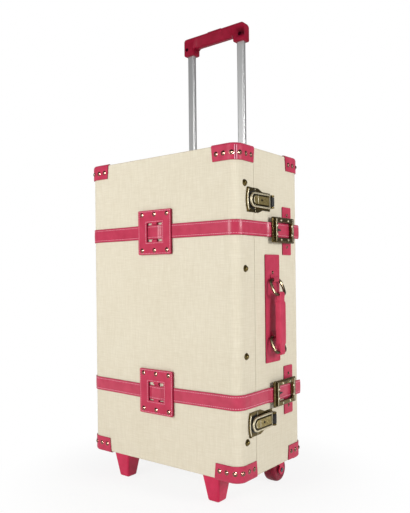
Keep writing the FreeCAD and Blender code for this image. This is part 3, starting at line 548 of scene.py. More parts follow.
# %% Lid tongue
TONGUE_WALL, TONGUE_RADIUS, TONGUE_GAP = 2.3 * MM, 4 * MM, 0.7 * MM
tongue_low, tongue_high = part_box("lid_rim")
inset = WALL + TONGUE_GAP
bm = bmesh.new()
bmesh.ops.create_cube(bm, size=1.0)
reach = Vector((case_high.x - case_low.x - 2 * inset, tongue_high.y - tongue_low.y, top - bottom - 2 * inset))
bmesh.ops.scale(bm, vec=reach, verts=bm.verts)
bmesh.ops.translate(bm, vec=(case_middle.x, (tongue_low.y + tongue_high.y) / 2, case_middle.z),
                    verts=bm.verts)
bmesh.ops.delete(bm, geom=[f for f in bm.faces if abs(f.normal.y) > 0.9], context="FACES")
round_edges(bm, [e for e in bm.edges if abs(e.verts[0].co.y - e.verts[1].co.y) > MM], TONGUE_RADIUS, 4)
piece("lid_tongue", bm, [leather_edge], "lid", "leather", ["lid_rim"], wall=TONGUE_WALL, edge=0.5 * MM)
print("tongue", [round(c, 4) for c in reach])

# %% [markdown]
# A corner cap is leather pulled over the corner and riveted down. It could be modelled by itself, but then
# it would have to be fitted to the case. Here the rounded case surface is trimmed by planes instead: the
# cap's level edge, two slanting sides, and a diagonal that cuts only the flap on the top or the bottom.
# Then it gets a wall outwards.

# %% Corner caps
CAP_WIDTH, CAP_SLANT, CAP_HEIGHT, CAP_WALL = 52 * MM, 3 / 31, 29 * MM, 2 * MM
FLAP_DIAGONAL, WHEEL_FLAP_DIAGONAL = CAP_WIDTH + 8 * MM, 33 * MM
SIDES = {"left": -1, "right": 1}
ENDS = {"front": -1, "rear": 1}
HEIGHTS = {"bottom": -1, "top": 1}
OWNERS = {"front": "lid", "rear": "base"}


def case_corner(sx, sy, sz):
    return Vector((right if sx > 0 else left, rear if sy > 0 else front, top if sz > 0 else bottom))


def corner_cap(sx, sy, sz, diagonal):
    bm = case_surface()
    corner = case_corner(sx, sy, sz)
    low = corner.z - sz * CAP_HEIGHT
    cut_away(bm, (0, 0, low), (0, 0, -sz))
    cut_away(bm, (corner.x - sx * CAP_WIDTH, 0, low), (-sx, 0, -CAP_SLANT * sz))
    cut_away(bm, (0, corner.y - sy * CAP_WIDTH, low), (0, -sy, -CAP_SLANT * sz))
    flap = [f for f in bm.faces if f.normal.z * sz > 0.6]
    score(bm, (corner.x - sx * diagonal, corner.y, corner.z), (-sx, -sy, 0), flap)
    beyond = [f for f in bm.faces if f.normal.z * sz > 0.6
              and (corner - f.calc_center_median()).dot(Vector((sx, sy, 0))) > diagonal]
    bmesh.ops.delete(bm, geom=beyond, context="FACES")
    return bm


for side, sx in SIDES.items():
    for end, sy in ENDS.items():
        for height, sz in HEIGHTS.items():
            wheel_here = end == "rear" and height == "bottom"
            bm = corner_cap(sx, sy, sz, WHEEL_FLAP_DIAGONAL if wheel_here else FLAP_DIAGONAL)
            piece("%s_leather_%s_%s" % (end, side, height), bm, [leather, leather_edge],
                  OWNERS[end], "leather", ["%s_cap_%s_%s" % (end, side, height)],
                  wall=CAP_WALL, wall_side=1.0, edge=0.6 * MM, rim=1)
print("caps", len(SIDES) * len(ENDS) * len(HEIGHTS))

# %% [markdown]
# On the upright edge of each top cap the leather is sewn: a dark seam between two pale pipings. The
# pipings' pale colour is partly painted highlight along the fold, and the seam's dark colour partly painted
# shade in the crease. Folded leather would show no more than this from a metre away, so three thin rods are
# sunk into the cap.

# %% Seams of the top caps
SEAM_TALL, SEAM_FOOT = CAP_HEIGHT - 3.5 * MM, 0.8 * MM
# Pale pipings: partly painted highlight. Dark seam: partly painted shade in the crease.
SEAM_RODS = {
    "piping_and_highlight": (thread, 0.85 * MM, (-1.9, 1.9), 0.2 * MM),
    "seam": (leather_edge, 1.2 * MM, (0,), 0.9 * MM),
}
for side, sx in SIDES.items():
    for end, sy in ENDS.items():
        out = Vector((sx, sy, 0)).normalized()
        axis = case_corner(sx, sy, 1) - Vector((sx, sy, 0)) * UPRIGHT_RADIUS
        at = axis + out * (UPRIGHT_RADIUS + CAP_WALL) + upward * (SEAM_TALL / 2 - CAP_HEIGHT + SEAM_FOOT)
        for kind, (finish, radius, spots, sunk) in SEAM_RODS.items():
            bm = bmesh.new()
            for spot in spots:
                place = Matrix.Translation(at + out.cross(upward) * spot * MM - out * sunk)
                bmesh.ops.create_cone(bm, cap_ends=True, segments=12, radius1=radius, radius2=radius,
                                      depth=SEAM_TALL, matrix=place)
            piece("%s_%s_%s" % (end, kind, side), bm, [finish], OWNERS[end], "leather", edge=0.2 * MM)
print("seams", len(SIDES) * len(ENDS), "of", round(SEAM_TALL / MM, 1), "mm")

# %% [markdown]
# Rivets, studs, beads and stitches repeat many times. Each could be a sphere, but a real head has a low
# dome and a flat rim. So its profile is turned round its axis once, with a few dozen faces, and stamped
# wherever it belongs.


# %% Small repeated shapes
def lathe(profile, steps):
    bm = bmesh.new()
    rim = [bm.verts.new((r * MM, 0, z * MM)) for r, z in profile]
    edges = [bm.edges.new(pair) for pair in zip(rim, rim[1:])]
    bmesh.ops.spin(bm, geom=rim + edges, cent=(0, 0, 0), axis=(0, 0, 1), angle=2 * math.pi,
                   steps=steps, use_merge=True)
    bmesh.ops.remove_doubles(bm, verts=bm.verts, dist=1e-6)
    bmesh.ops.recalc_face_normals(bm, faces=bm.faces)
    mesh = bpy.data.meshes.new("turned")
    bm.to_mesh(mesh)
    bm.free()
    return mesh


def stamp(bm, mesh, places):
    for place in places:
        known = len(bm.verts)
        bm.from_mesh(mesh)
        bm.verts.ensure_lookup_table()
        bmesh.ops.transform(bm, matrix=place, verts=bm.verts[known:])


def facing(point, normal):
    return Matrix.Translation(point) @ Vector(normal).to_track_quat("Z", "Y").to_matrix().to_4x4()


def domed_head(radius, height):
    steep = 2 * math.atan(height / radius)
    ball = radius / math.sin(steep)
    dome = [(ball * math.sin(steep * k / 8), height - ball + ball * math.cos(steep * k / 8))
            for k in range(9)]
    return lathe(dome[:-1] + [(radius, 0.3), (radius * 1.14, 0.2), (radius * 1.14, -0.4), (0, -0.4)], 20)


RIVET, SMALL_RIVET, STUD, BEAD = (4.0, 2.4), (2.8, 2.2), (5.7, 5.0), (1.9, 1.7)
rivet, small_rivet, stud, bead = [domed_head(*size) for size in (RIVET, SMALL_RIVET, STUD, BEAD)]
stitch = lathe([(0, 1.6), (0.42, 1.2), (0.52, 0.4), (0.52, -0.4), (0.42, -1.2), (0, -1.6)], 6)
print("rivet faces", len(rivet.polygons), "stitch faces", len(stitch.polygons))

# %% [markdown]
# Straps, rings, leather loops and hasp bows are each one section pulled along straight runs and turns. A
# curve with a bevel could do that too, but its faces exist only at the end. With extrude and spin they are
# there at once, and can be trimmed or painted.

# %% Band helpers
RUN_STEP, TURN_STEP = 5 * MM, math.radians(9)


def directions(angle):
    ahead = Vector((math.cos(angle), math.sin(angle), 0))
    return ahead, Vector((ahead.y, -ahead.x, 0))


def sweep(bm, section, place, heading, moves):
    here, angle, edges = Vector(place), heading, section
    for kind, *size in moves:
        ahead, aside = directions(angle)
        if kind == "run":
            count = max(1, round(size[0] / RUN_STEP))
            for _ in range(count):
                made = bmesh.ops.extrude_edge_only(bm, edges=edges)["geom"]
                fresh = verts_in(made)
                bmesh.ops.translate(bm, vec=ahead * size[0] / count, verts=fresh)
                edges = edges_in(made, fresh)
            here = here + ahead * size[0]
            continue
        centre = here - aside * math.copysign(size[0], size[1])
        steps = max(2, math.ceil(abs(size[1]) / TURN_STEP))
        ends = edges + list({v for e in edges for v in e.verts})
        made = bmesh.ops.spin(bm, geom=ends, cent=centre, axis=(0, 0, 1), angle=size[1], steps=steps)
        edges = edges_in(made["geom_last"])
        here = centre + Matrix.Rotation(size[1], 3, "Z") @ (here - centre)
        angle += size[1]
    return edges


print("straight runs are stepped every", RUN_STEP / MM, "mm")

# %% [markdown]
# Stitches follow the same runs and turns at an even pitch. An array along a curve could place them, but it
# would stretch them at the bends, so a second function walks the path and notes each place and heading. A
# jog is two turns that lift a band by a given rise.


# %% Path helpers
def walk(place, heading, moves, pitch):
    spots, wait = [], pitch / 2
    here, angle = Vector(place), heading
    for kind, *size in moves:
        ahead, aside = directions(angle)
        length = size[0] if kind == "run" else abs(size[0] * size[1])
        turn = 0.0 if kind == "run" else size[1]
        centre = here - aside * math.copysign(size[0], turn)
        while wait < length:
            share = wait / length
            bent = centre + Matrix.Rotation(turn * share, 3, "Z") @ (here - centre)
            spots.append((here + ahead * wait if kind == "run" else bent, angle + turn * share))
            wait += pitch
        wait -= length
        bent = centre + Matrix.Rotation(turn, 3, "Z") @ (here - centre)
        here = here + ahead * length if kind == "run" else bent
        angle += turn
    return spots


def jog(rise, radius):
    turn = math.copysign(math.acos(1 - abs(rise) / (2 * radius)), rise)
    return [("turn", radius, -turn), ("turn", radius, turn)]


def jog_length(rise, radius):
    return 2 * radius * math.sin(math.acos(1 - rise / (2 * radius)))


print("a jog of 2 mm on turns of 8 mm takes", round(jog_length(2 * MM, 8 * MM) / MM, 1), "mm")

# %% [markdown]
# A strap is one long band: round the left edge, along the front, over the pad's bridge, round the right
# edge and on to the buckle. It sags a little between its ends. A flat strip would do from far away, but
# only a band that really bends catches the light at its bends, so its path is set out first as runs and
# turns.

# %% Path of a strap
LEVELS = ("upper", "lower")
STRAP_WALL, STRAP_TURN, BRIDGE, BRIDGE_RISE = 1.7 * MM, 12 * MM, 13 * MM, 2.8 * MM
TAIL_HINGE, TAIL_RISE, TAB_RISE, TAB_FROM_REAR = 1.25 * MM, 0.7 * MM, 3.7 * MM, 118 * MM
SAG = {"upper": 0.4 * MM, "lower": -1.9 * MM}
pad_low, pad_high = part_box("strap_pad_upper")
pad_x = (pad_low.x + pad_high.x) / 2


def middle_z(node):
    low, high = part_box(node)
    return (low.z + high.z) / 2


def sag(level, x):
    return SAG[level] * math.cos(min(1.0, abs(x - pad_x) / (case_high.x - pad_x)) * math.pi / 2) ** 2


def strap_moves(level):
    tail_low, tail_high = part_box("strap_tail_" + level)
    hinge_y, flat_y = tail_low.y + TAIL_HINGE, rear - TAB_FROM_REAR
    half_front = (right - left) / 2 - UPRIGHT_RADIUS
    lead = half_front - BRIDGE / 2 - jog_length(BRIDGE_RISE, STRAP_TURN)
    shift = pad_x - case_middle.x
    near = hinge_y - front - UPRIGHT_RADIUS - jog_length(TAIL_RISE, STRAP_TURN)
    climb = jog_length(TAB_RISE, STRAP_TURN)
    corner = ("turn", UPRIGHT_RADIUS, math.pi / 2)
    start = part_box("strap_" + level)[1].y
    return (left, start), [
        ("run", start - front - UPRIGHT_RADIUS), corner, ("run", lead + shift), *jog(BRIDGE_RISE, STRAP_TURN),
        ("run", BRIDGE), *jog(-BRIDGE_RISE, STRAP_TURN), ("run", lead - shift), corner, ("run", near / 2),
        *jog(TAIL_RISE, STRAP_TURN), ("run", near / 2 + flat_y - climb - hinge_y),
        *jog(TAB_RISE, STRAP_TURN), ("run", tail_high.y - flat_y)]


print("moves of each strap", [len(strap_moves(level)[1]) for level in LEVELS])

# %% [markdown]
# The section is crowned in the middle and dips in a groove for each row of stitches. Its outer millimetre
# takes the dark painted edge, and the tip is trimmed round. The band could be cut in two at the hinge line,
# but a gap would show there, so it stays one piece, which rides on no body.

# %% Straps with their tails
STRAP_HALF = [(0, 0.7), (8.7, 0.44), (10.2, 0.14), (11.7, 0.38), (13.2, 0.3), (14, 0)]
STRAP_SECTION = [(-wide, proud) for wide, proud in STRAP_HALF[:0:-1]] + STRAP_HALF
TIP_TRIM, PAINTED_FROM = {14: 3.2, 13.2: 1.6, 11.7: 0.6}, 13 * MM
STITCH_ROW, STITCH_PITCH, STITCH_LIFT = 10.2 * MM, 4.2 * MM, 0.2 * MM
for level in LEVELS:
    z = middle_z("strap_" + level)
    (x, y), moves = strap_moves(level)
    bm = bmesh.new()
    line = [bm.verts.new((x - STRAP_WALL - proud * MM, y, z + wide * MM)) for wide, proud in STRAP_SECTION]
    section = [bm.edges.new(pair) for pair in zip(line, line[1:])]
    last = sweep(bm, section, (x, y, z), -math.pi / 2, moves)
    for v in {v for e in last for v in e.verts}:
        v.co.y -= TIP_TRIM.get(round(abs(v.co.z - z) / MM, 1), 0.0) * MM
    for f in bm.faces:
        f.material_index = int(abs(f.calc_center_median().z - z) > PAINTED_FROM)
    for v in bm.verts:
        v.co.z += sag(level, v.co.x)
    bmesh.ops.recalc_face_normals(bm, faces=bm.faces)
    front_middle = Vector((case_middle.x, front, z))
    middle_face = min(bm.faces, key=lambda f: (f.calc_center_median() - front_middle).length)
    if middle_face.normal.y > 0:
        bmesh.ops.reverse_faces(bm, faces=bm.faces)
    band = piece("%s_strap_leather" % level, bm, [strap_leather, leather_edge], None, "leather",
                 ["strap_" + level, "strap_tail_" + level], sharp=60, wall=STRAP_WALL, edge=0.5 * MM, rim=1)
    settle(band)
    bm = bmesh.new()
    for row in (-1, 1):
        for spot, angle in walk((x, y, z + row * STITCH_ROW), -math.pi / 2, moves, STITCH_PITCH):
            ahead, aside = directions(angle)
            drop = Vector((0, 0, sag(level, spot.x)))
            stamp(bm, stitch, [facing(spot + aside * (STRAP_WALL + STITCH_LIFT) + drop, ahead)])
    seam = piece("%s_strap_stitches" % level, bm, [thread], None, "leather")
    settle(seam)
    for obj in (band, seam):
        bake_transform(obj)
    print(level, "strap", len(band.data.polygons), "faces, stitches", len(seam.data.polygons))

# %% [markdown]
# Pads, tabs and buckle frames are made from flat sheets. Blocks could be joined and subtracted for them,
# but a sheet can be treated as a maker treats leather: it is scored along the cut lines, the openings are
# deleted, and a wall makes it solid. Another function sets a ring of stitches a little inside an edge.


# %% Sheet helpers
def sheet(wide, tall, corner, lift):
    bm = bmesh.new()
    bmesh.ops.create_grid(bm, x_segments=1, y_segments=1, size=0.5)
    bmesh.ops.scale(bm, vec=(wide, tall, 1), verts=bm.verts)
    round_edges(bm, bm.verts[:], corner, 4, "VERTICES")
    bmesh.ops.translate(bm, vec=(0, 0, lift), verts=bm.verts)
    return bm


def open_up(bm, xs, ys, gone):
    for x in xs:
        score(bm, (x, 0, 0), (1, 0, 0))
        score(bm, (-x, 0, 0), (1, 0, 0))
    for y in ys:
        score(bm, (0, y, 0), (0, 1, 0))
        score(bm, (0, -y, 0), (0, 1, 0))
    middles = [(f, f.calc_center_median()) for f in bm.faces]
    bmesh.ops.delete(bm, geom=[f for f, c in middles if gone(abs(c.x), abs(c.y))], context="FACES")
    return bm


def lay_on(bm, other):
    mesh = bpy.data.meshes.new("layer")
    other.to_mesh(mesh)
    other.free()
    bm.from_mesh(mesh)


def ring_moves(wide, tall):
    return [("run", wide), ("turn", MM, math.pi / 2), ("run", tall), ("turn", MM, math.pi / 2)] * 2


def stitched_ring(bm, wide, tall, lift, matrix):
    for spot, angle in walk((-wide / 2, -tall / 2 - MM, lift), 0.0, ring_moves(wide, tall), STITCH_PITCH):
        stamp(bm, stitch, [matrix @ facing(spot, (math.cos(angle), math.sin(angle), 0))])


print("sheet helpers", *(f.__name__ for f in (sheet, open_up, lay_on, ring_moves, stitched_ring)))

# %% [markdown]
# The pad on the front is two layers of leather. The outer one has a window for the strap, with a slit at
# each corner; the inner one leaves a channel for the strap and a narrow bridge that it passes over. One
# thick layer with a groove could stand for both, but the strap is woven through them, so each layer is cut
# by itself.

# %% Pads
PAD_WIDE, PAD_TALL, PAD_CORNER, PAD_LAYER = 86 * MM, 87 * MM, 2.5 * MM, 2.65 * MM
WINDOW_X, WINDOW_Z, SLIT_Z, CHANNEL_Z = 19.5 * MM, 14.6 * MM, 18.4 * MM, 15 * MM
STITCH_INSET, WINDOW_STITCH_X, WINDOW_STITCH_Z = 7 * MM, 4 * MM, 3 * MM


def in_window(x, z):
    return x < WINDOW_X and z < (SLIT_Z if x > BRIDGE / 2 else WINDOW_Z)


def in_channel(x, z):
    return x > BRIDGE / 2 and z < CHANNEL_Z or BRIDGE / 2 < x < WINDOW_X and z < SLIT_Z


for level in LEVELS:
    place = on_front(pad_x, middle_z("strap_" + level), front)
    bm = sheet(PAD_WIDE, PAD_TALL, PAD_CORNER, 2 * PAD_LAYER)
    open_up(bm, (BRIDGE / 2, WINDOW_X), (WINDOW_Z, SLIT_Z), in_window)
    inner = sheet(PAD_WIDE - MM, PAD_TALL - MM, PAD_CORNER, PAD_LAYER)
    lay_on(bm, open_up(inner, (BRIDGE / 2, WINDOW_X), (CHANNEL_Z, SLIT_Z), in_channel))
    put(bm, place)
    piece("%s_pad_leather" % level, bm, [leather, leather_edge], "lid", "leather", ["strap_pad_" + level],
          wall=PAD_LAYER, edge=0.5 * MM, rim=1)
    bm = bmesh.new()
    stitched_ring(bm, PAD_WIDE - STITCH_INSET, PAD_TALL - STITCH_INSET, 2 * PAD_LAYER, place)
    stitched_ring(bm, 2 * WINDOW_X + WINDOW_STITCH_X, 2 * SLIT_Z + WINDOW_STITCH_Z, 2 * PAD_LAYER, place)
    piece("%s_pad_stitches" % level, bm, [thread], "lid", "leather")
print("pads", len(LEVELS))

# %% [markdown]
# Rivets sit on the caps, three on each face and the third one already on the curve, on the pads, on the
# buckle tabs and on the handle strip. Each could be placed by hand; here a seat is worked out from the
# sheet that it holds down, so that no head floats.

# %% Seats of the rivets
CAP_RIVETS, CAP_RIVET_ROW = (43.4, 27.4, 11.4), 16 * MM
PAD_RIVET_X, PAD_RIVET_Z, TAB_RIVET_Z, STRIP_RIVET_Z = 32.5 * MM, 35 * MM, 31.5 * MM, 68 * MM
tab_low, tab_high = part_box("buckle_tabs")
tab_y = (tab_low.y + tab_high.y) / 2
strip_low, strip_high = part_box("handle_strip")
strip_middle = (strip_low + strip_high) / 2


def cap_seats(sx, sy, sz):
    corner = case_corner(sx, sy, sz) - upward * sz * CAP_RIVET_ROW
    seats = []
    for along in CAP_RIVETS:
        lean = math.asin(max(0.0, 1 - along * MM / UPRIGHT_RADIUS))
        drop = UPRIGHT_RADIUS * (1 - math.cos(lean))
        for a, b, n in ((along * MM, drop, (sx * math.sin(lean), sy * math.cos(lean), 0)),
                        (drop, along * MM, (sx * math.cos(lean), sy * math.sin(lean), 0))):
            point = corner - Vector((sx * a, sy * b, 0))
            seats.append(facing(point + Vector(n) * CAP_WALL, n))
    return seats


def pad_seats(level):
    z = middle_z("strap_" + level)
    return [facing((pad_x + i * PAD_RIVET_X, front - 2 * PAD_LAYER, z + k * PAD_RIVET_Z), (0, -1, 0))
            for i in (-1, 0, 1) for k in (-1, 1)]


small_seats = [facing((tab_high.x, tab_y, middle_z("strap_" + level) + k * TAB_RIVET_Z), (1, 0, 0))
               for level in LEVELS for k in (-1, 1)]
small_seats += [facing((strip_high.x, strip_middle.y, strip_middle.z + k * STRIP_RIVET_Z), (1, 0, 0))
                for k in (-1, 1)]
print("small seats", len(small_seats))

# %% [markdown]
# Heads could be separate objects, but those on one body move together and share a finish, so one mesh
# takes a copy of a head at every seat. The four larger studs stand on the lid beside the latches, and
# between them.

# %% Rivets and studs
STUD_RADIUS, INNER_STUD = 6 * MM, 78.5 * MM
for end, sy in ENDS.items():
    bm = bmesh.new()
    for sx in SIDES.values():
        for sz in HEIGHTS.values():
            stamp(bm, rivet, cap_seats(sx, sy, sz))
    if end == "front":
        stamp(bm, rivet, pad_seats("upper") + pad_seats("lower"))
    else:
        stamp(bm, small_rivet, small_seats)
    owner = OWNERS[end]
    piece("%s_rivet_heads" % owner, bm, [rivet_brass_painted_reflection], owner, "brass", [owner + "_rivets"])
glinting = bpy.data.collections.new("glinting")
glinting.objects.link(bpy.data.objects["lid_rivet_heads"])
glint.light_linking.receiver_collection = glinting
stud_low, stud_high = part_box("lid_studs")
stud_y = (stud_low.y + stud_high.y) / 2
outer_stud = stud_high.z - STUD_RADIUS - case_middle.z
stud_rises = (outer_stud, INNER_STUD, -INNER_STUD, -outer_stud)
bm = bmesh.new()
stamp(bm, stud, [facing((right, stud_y, case_middle.z + rise), (1, 0, 0)) for rise in stud_rises])
piece("lid_stud_heads", bm, [brass], "lid", "brass", ["lid_studs"])
print("studs", len(stud_rises))

# %% [markdown]
# Under each buckle lies an upright leather tab, and the handle has a longer strip of the same make. Both
# are cut from a sheet, as leather is, and not shaped from a block, so that their corners and walls match
# the pads'.

# %% Tabs and handle strip
TAB_WIDE, TAB_TALL, SINGLE_LAYER = 32 * MM, 94 * MM, 2 * MM
for level in LEVELS:
    bm = sheet(TAB_WIDE, TAB_TALL, PAD_CORNER, SINGLE_LAYER)
    put(bm, on_side(tab_y, middle_z("strap_" + level), right))
    piece("%s_tab_leather" % level, bm, [leather, leather_edge], "base", "leather", ["buckle_tabs"],
          wall=SINGLE_LAYER, edge=0.5 * MM, rim=1)
strip_wide, strip_tall = strip_high.y - strip_low.y, strip_high.z - strip_low.z
strip_place = on_side(strip_middle.y, strip_middle.z, right)
bm = sheet(strip_wide, strip_tall, PAD_CORNER, SINGLE_LAYER)
put(bm, strip_place)
piece("handle_strip_leather", bm, [leather, leather_edge], "base", "leather", ["handle_strip"],
      wall=SINGLE_LAYER, edge=0.5 * MM, rim=1)
bm = bmesh.new()
stitched_ring(bm, strip_wide - STITCH_INSET, strip_tall - STITCH_INSET, SINGLE_LAYER, strip_place)
piece("handle_strip_stitches", bm, [leather], "base", "leather")
print("tabs", len(LEVELS), "strip", round(strip_tall / MM), "mm")

# %% [markdown]
# The buckle is a stepped brass frame: a flat one below and a raised one round the window, with a bright ridge
# along each upright bar and two beads on every bar. The pale gold of ridges and beads is partly painted
# highlight. A short dark prong points into the window. It could be cast as one block; separate layers give
# it clean steps, and a finish for each.

# %% Buckles
BUCKLE, BUCKLE_WINDOW, BUCKLE_WALL = (80 * MM, 49 * MM), (50 * MM, 30 * MM), 3.2 * MM
BUCKLE_STEP_WIDE, BUCKLE_STEP_TALL, BUCKLE_STEP = 64 * MM, 45 * MM, 2.6 * MM
RIDGE_X, RIDGE_WIDE, RIDGE_SHORT = 30.6 * MM, 1.2 * MM, 2 * MM
RIDGE_CORNER, RIDGE_PROUD = 0.4 * MM, 0.6 * MM
BEADS = [(x, z) for x in (-27.2, 27.2) for z in (-8.5, 8.5)]
BEADS += [(x, z) for x in (-13, 13) for z in (-18.6, 18.6)]
PRONG_RADIUS, PRONG_LONG, PRONG_AT = 4.2 * MM, 17 * MM, (-17.5 * MM, 0, 2.2 * MM)
PRONG_FLAT = 0.6


def flat_frame(wide, tall, open_wide, open_tall, corner, lift):
    return open_up(sheet(wide, tall, corner, lift), (open_wide / 2,), (open_tall / 2,),
                   lambda a, b: a < open_wide / 2 and b < open_tall / 2)


for level in LEVELS:
    low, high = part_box("buckle_" + level)
    place = on_side((low.y + high.y) / 2, (low.z + high.z) / 2, low.x)
    crest = BUCKLE_WALL + BUCKLE_STEP
    body = level + "_strap_tail"
    bm = flat_frame(*BUCKLE, *BUCKLE_WINDOW, 2 * MM, BUCKLE_WALL)
    put(bm, place)
    piece("%s_buckle_frame" % level, bm, [brass], body, "brass", ["buckle_" + level],
          wall=BUCKLE_WALL, edge=1.0 * MM, segments=3)
    bm = flat_frame(BUCKLE_STEP_WIDE, BUCKLE_STEP_TALL, *BUCKLE_WINDOW, MM, crest)
    put(bm, place)
    piece("%s_buckle_step" % level, bm, [brass], body, "brass", wall=BUCKLE_STEP, edge=0.7 * MM, segments=3)
    bm = bmesh.new()
    # Pale strips along the bars: partly painted highlight.
    for x in (-RIDGE_X, RIDGE_X):
        ridge = sheet(RIDGE_WIDE, BUCKLE_STEP_TALL - RIDGE_SHORT, RIDGE_CORNER, crest + RIDGE_PROUD)
        bmesh.ops.translate(ridge, vec=(x, 0, 0), verts=ridge.verts)
        lay_on(bm, ridge)
    put(bm, place)
    piece("%s_buckle_ridges" % level, bm, [pale_gold_and_painted_highlight], body, "brass", wall=RIDGE_WIDE)
    # Pale beads: partly painted glint.
    bm = bmesh.new()
    stamp(bm, bead, [place @ Matrix.Translation((x * MM, z * MM, crest)) for x, z in BEADS])
    piece("%s_buckle_beads" % level, bm, [pale_gold_and_painted_highlight], body, "brass")
    bm = bmesh.new()
    bmesh.ops.create_cone(bm, cap_ends=True, segments=12, radius1=PRONG_RADIUS, radius2=MM, depth=PRONG_LONG)
    lying = Matrix.Translation(PRONG_AT) @ Matrix.Rotation(math.pi / 2, 4, "Y")
    put(bm, place @ lying @ Matrix.Diagonal((PRONG_FLAT, 1, 1, 1)))
    piece("%s_buckle_prong" % level, bm, [black_plastic], body, "brass", edge=0.4 * MM)
print("buckles", len(LEVELS), "with", len(BEADS), "beads each")

# %% [markdown]
# The handle's rings are bent from round wire: two straight bars, four tight bends and two bowed arms. A
# torus would be too round, so a circle is pulled along that path, and the ring is then hung on its bar
# with its real droop.

# %% Rings
RING_BAR, RING_BEND, RING_BOW, RING_WIRE = 22.3 * MM, 7 * MM, 37.91 * MM, 2.8 * MM
RING_DROOP, SIDE_BEND, BOWED = math.radians(66), math.radians(75), math.radians(30)
LOOP_FOOT, WIRE_GAP = 10 * MM, 0.05 * MM
handle_y = strip_middle.y
loop_low, loop_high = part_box("handle_loops")
loop_x = strip_high.x + SINGLE_LAYER + RING_WIRE + WIRE_GAP
loop_z = {"upper": loop_high.z - LOOP_FOOT, "lower": loop_low.z + LOOP_FOOT}
half_ring = [("run", RING_BAR), ("turn", RING_BEND, SIDE_BEND), ("turn", RING_BOW, BOWED),
             ("turn", RING_BEND, SIDE_BEND)]
for level, z in loop_z.items():
    bm = bmesh.new()
    turned = Matrix.Translation((-RING_BAR / 2, 0, 0)) @ Matrix.Rotation(math.pi / 2, 4, "Y")
    bmesh.ops.create_circle(bm, segments=12, radius=RING_WIRE, matrix=turned)
    sweep(bm, bm.edges[:], (-RING_BAR / 2, 0, 0), 0.0, half_ring * 2)
    bmesh.ops.remove_doubles(bm, verts=bm.verts, dist=0.02 * MM)
    bmesh.ops.recalc_face_normals(bm, faces=bm.faces)
    flat = Matrix(((0, 1, 0), (-1, 0, 0), (0, 0, 1))).to_4x4()
    put(bm, Matrix.Translation((loop_x, handle_y, z)) @ Matrix.Rotation(RING_DROOP, 4, "Y") @ flat)
    wire = piece("%s_ring_wire" % level, bm, [ring_brass], level + "_ring", "brass", ["handle_ring_" + level],
                 sharp=70)
    glinting.objects.link(wire)
print("rings", len(loop_z), "at", {level: round(z, 4) for level, z in loop_z.items()})

# %% [markdown]
# Each ring hangs in a leather loop, which wraps its bar like the letter omega and lies flat above and
# below it. The angle of the fold follows from the bar's distance to the strip, so that the loop hugs the
# wire without cutting it.

# %% Loops
LOOP_WIDE, LOOP_WALL, LOOP_BEND, LOOP_HUG = 18 * MM, 1.6 * MM, 2.4 * MM, 2.9 * MM
gap = loop_x - strip_high.x
fold = math.acos((LOOP_BEND - gap) / (LOOP_BEND + LOOP_HUG))
foot_run = LOOP_FOOT - (LOOP_BEND + LOOP_HUG) * math.sin(fold)
omega = [("run", foot_run), ("turn", LOOP_BEND, -fold), ("turn", LOOP_HUG, 2 * fold),
         ("turn", LOOP_BEND, -fold), ("run", foot_run)]
bm = bmesh.new()
for z in loop_z.values():
    flat = bmesh.new()
    line = [flat.verts.new((0, -LOOP_FOOT, k * LOOP_WIDE / 6)) for k in range(-3, 4)]
    section = [flat.edges.new(pair) for pair in zip(line, line[1:])]
    sweep(flat, section, (0, -LOOP_FOOT, 0), math.pi / 2, omega)
    upright = Matrix(((1, 0, 0), (0, 0, -1), (0, 1, 0))).to_4x4()
    put(flat, Matrix.Translation((strip_high.x, handle_y, z)) @ upright)
    bmesh.ops.recalc_face_normals(flat, faces=flat.faces)
    if min(flat.faces, key=lambda f: f.calc_center_median().z).normal.x < 0:
        bmesh.ops.reverse_faces(flat, faces=flat.faces)
    lay_on(bm, flat)
piece("handle_loop_leather", bm, [leather, leather_edge], "base", "leather", ["handle_loops"], sharp=60,
      wall=LOOP_WALL, wall_side=1.0, edge=0.4 * MM, rim=1)
print("loops", len(loop_z), "fold", round(math.degrees(fold)), "degrees")

# %% [markdown]
# The carry grip is leather sewn round a flat core, which steps down at both shoulders to the narrower ends
# that wrap the ring bars. A block with rounded edges would have no shoulders, so a rounded outline is
# extruded ring by ring and scaled at each. Its stitches are of the leather's own colour and half sunk.

# %% Carry grip
GRIP_HALF = [(0, 10, 6), (36, 9.9, 5.9), (39.5, 9.4, 5.4), (41, 7.8, 4.7), (47, 7.5, 4.7), (54, 7.5, 5.6),
             (58, 7.4, 4.2), (59.4, 7.0, 2.0)]
GRIP_RINGS = [(-z, wide, deep) for z, wide, deep in GRIP_HALF[:0:-1]] + GRIP_HALF
GRIP_STITCH_X, GRIP_STITCH_Y, GRIP_STITCHES = 5.45, 7.2, range(-34, 35, 4)
grip_low, grip_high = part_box("carry_grip")
grip_middle = (grip_low + grip_high) / 2
bm = bmesh.new()
bmesh.ops.create_grid(bm, x_segments=1, y_segments=1, size=MM)
round_edges(bm, bm.verts[:], 0.3 * MM, 4, "VERTICES")
ring, outline, past = bm.verts[:], bm.edges[:], (0, 1, 1)
for z, wide, deep in GRIP_RINGS:
    if past[0]:
        made = bmesh.ops.extrude_edge_only(bm, edges=outline)["geom"]
        ring = verts_in(made)
        outline = edges_in(made, ring)
    bmesh.ops.scale(bm, vec=(deep / past[2], wide / past[1], 1), verts=ring)
    bmesh.ops.translate(bm, vec=(0, 0, (z - past[0]) * MM), verts=ring)
    past = (z or 1e-9, wide, deep)
bmesh.ops.holes_fill(bm, edges=outline, sides=0)
bmesh.ops.recalc_face_normals(bm, faces=bm.faces)
bmesh.ops.translate(bm, vec=grip_middle, verts=bm.verts)
grip = piece("carry_grip_leather", bm, [leather], "carry_handle", "leather", ["carry_grip"],
             sharp=50, edge=0.6 * MM)
handle_lit = bpy.data.collections.new("handle_lit")
handle_lit.objects.link(grip)
handle_light.light_linking.receiver_collection = handle_lit
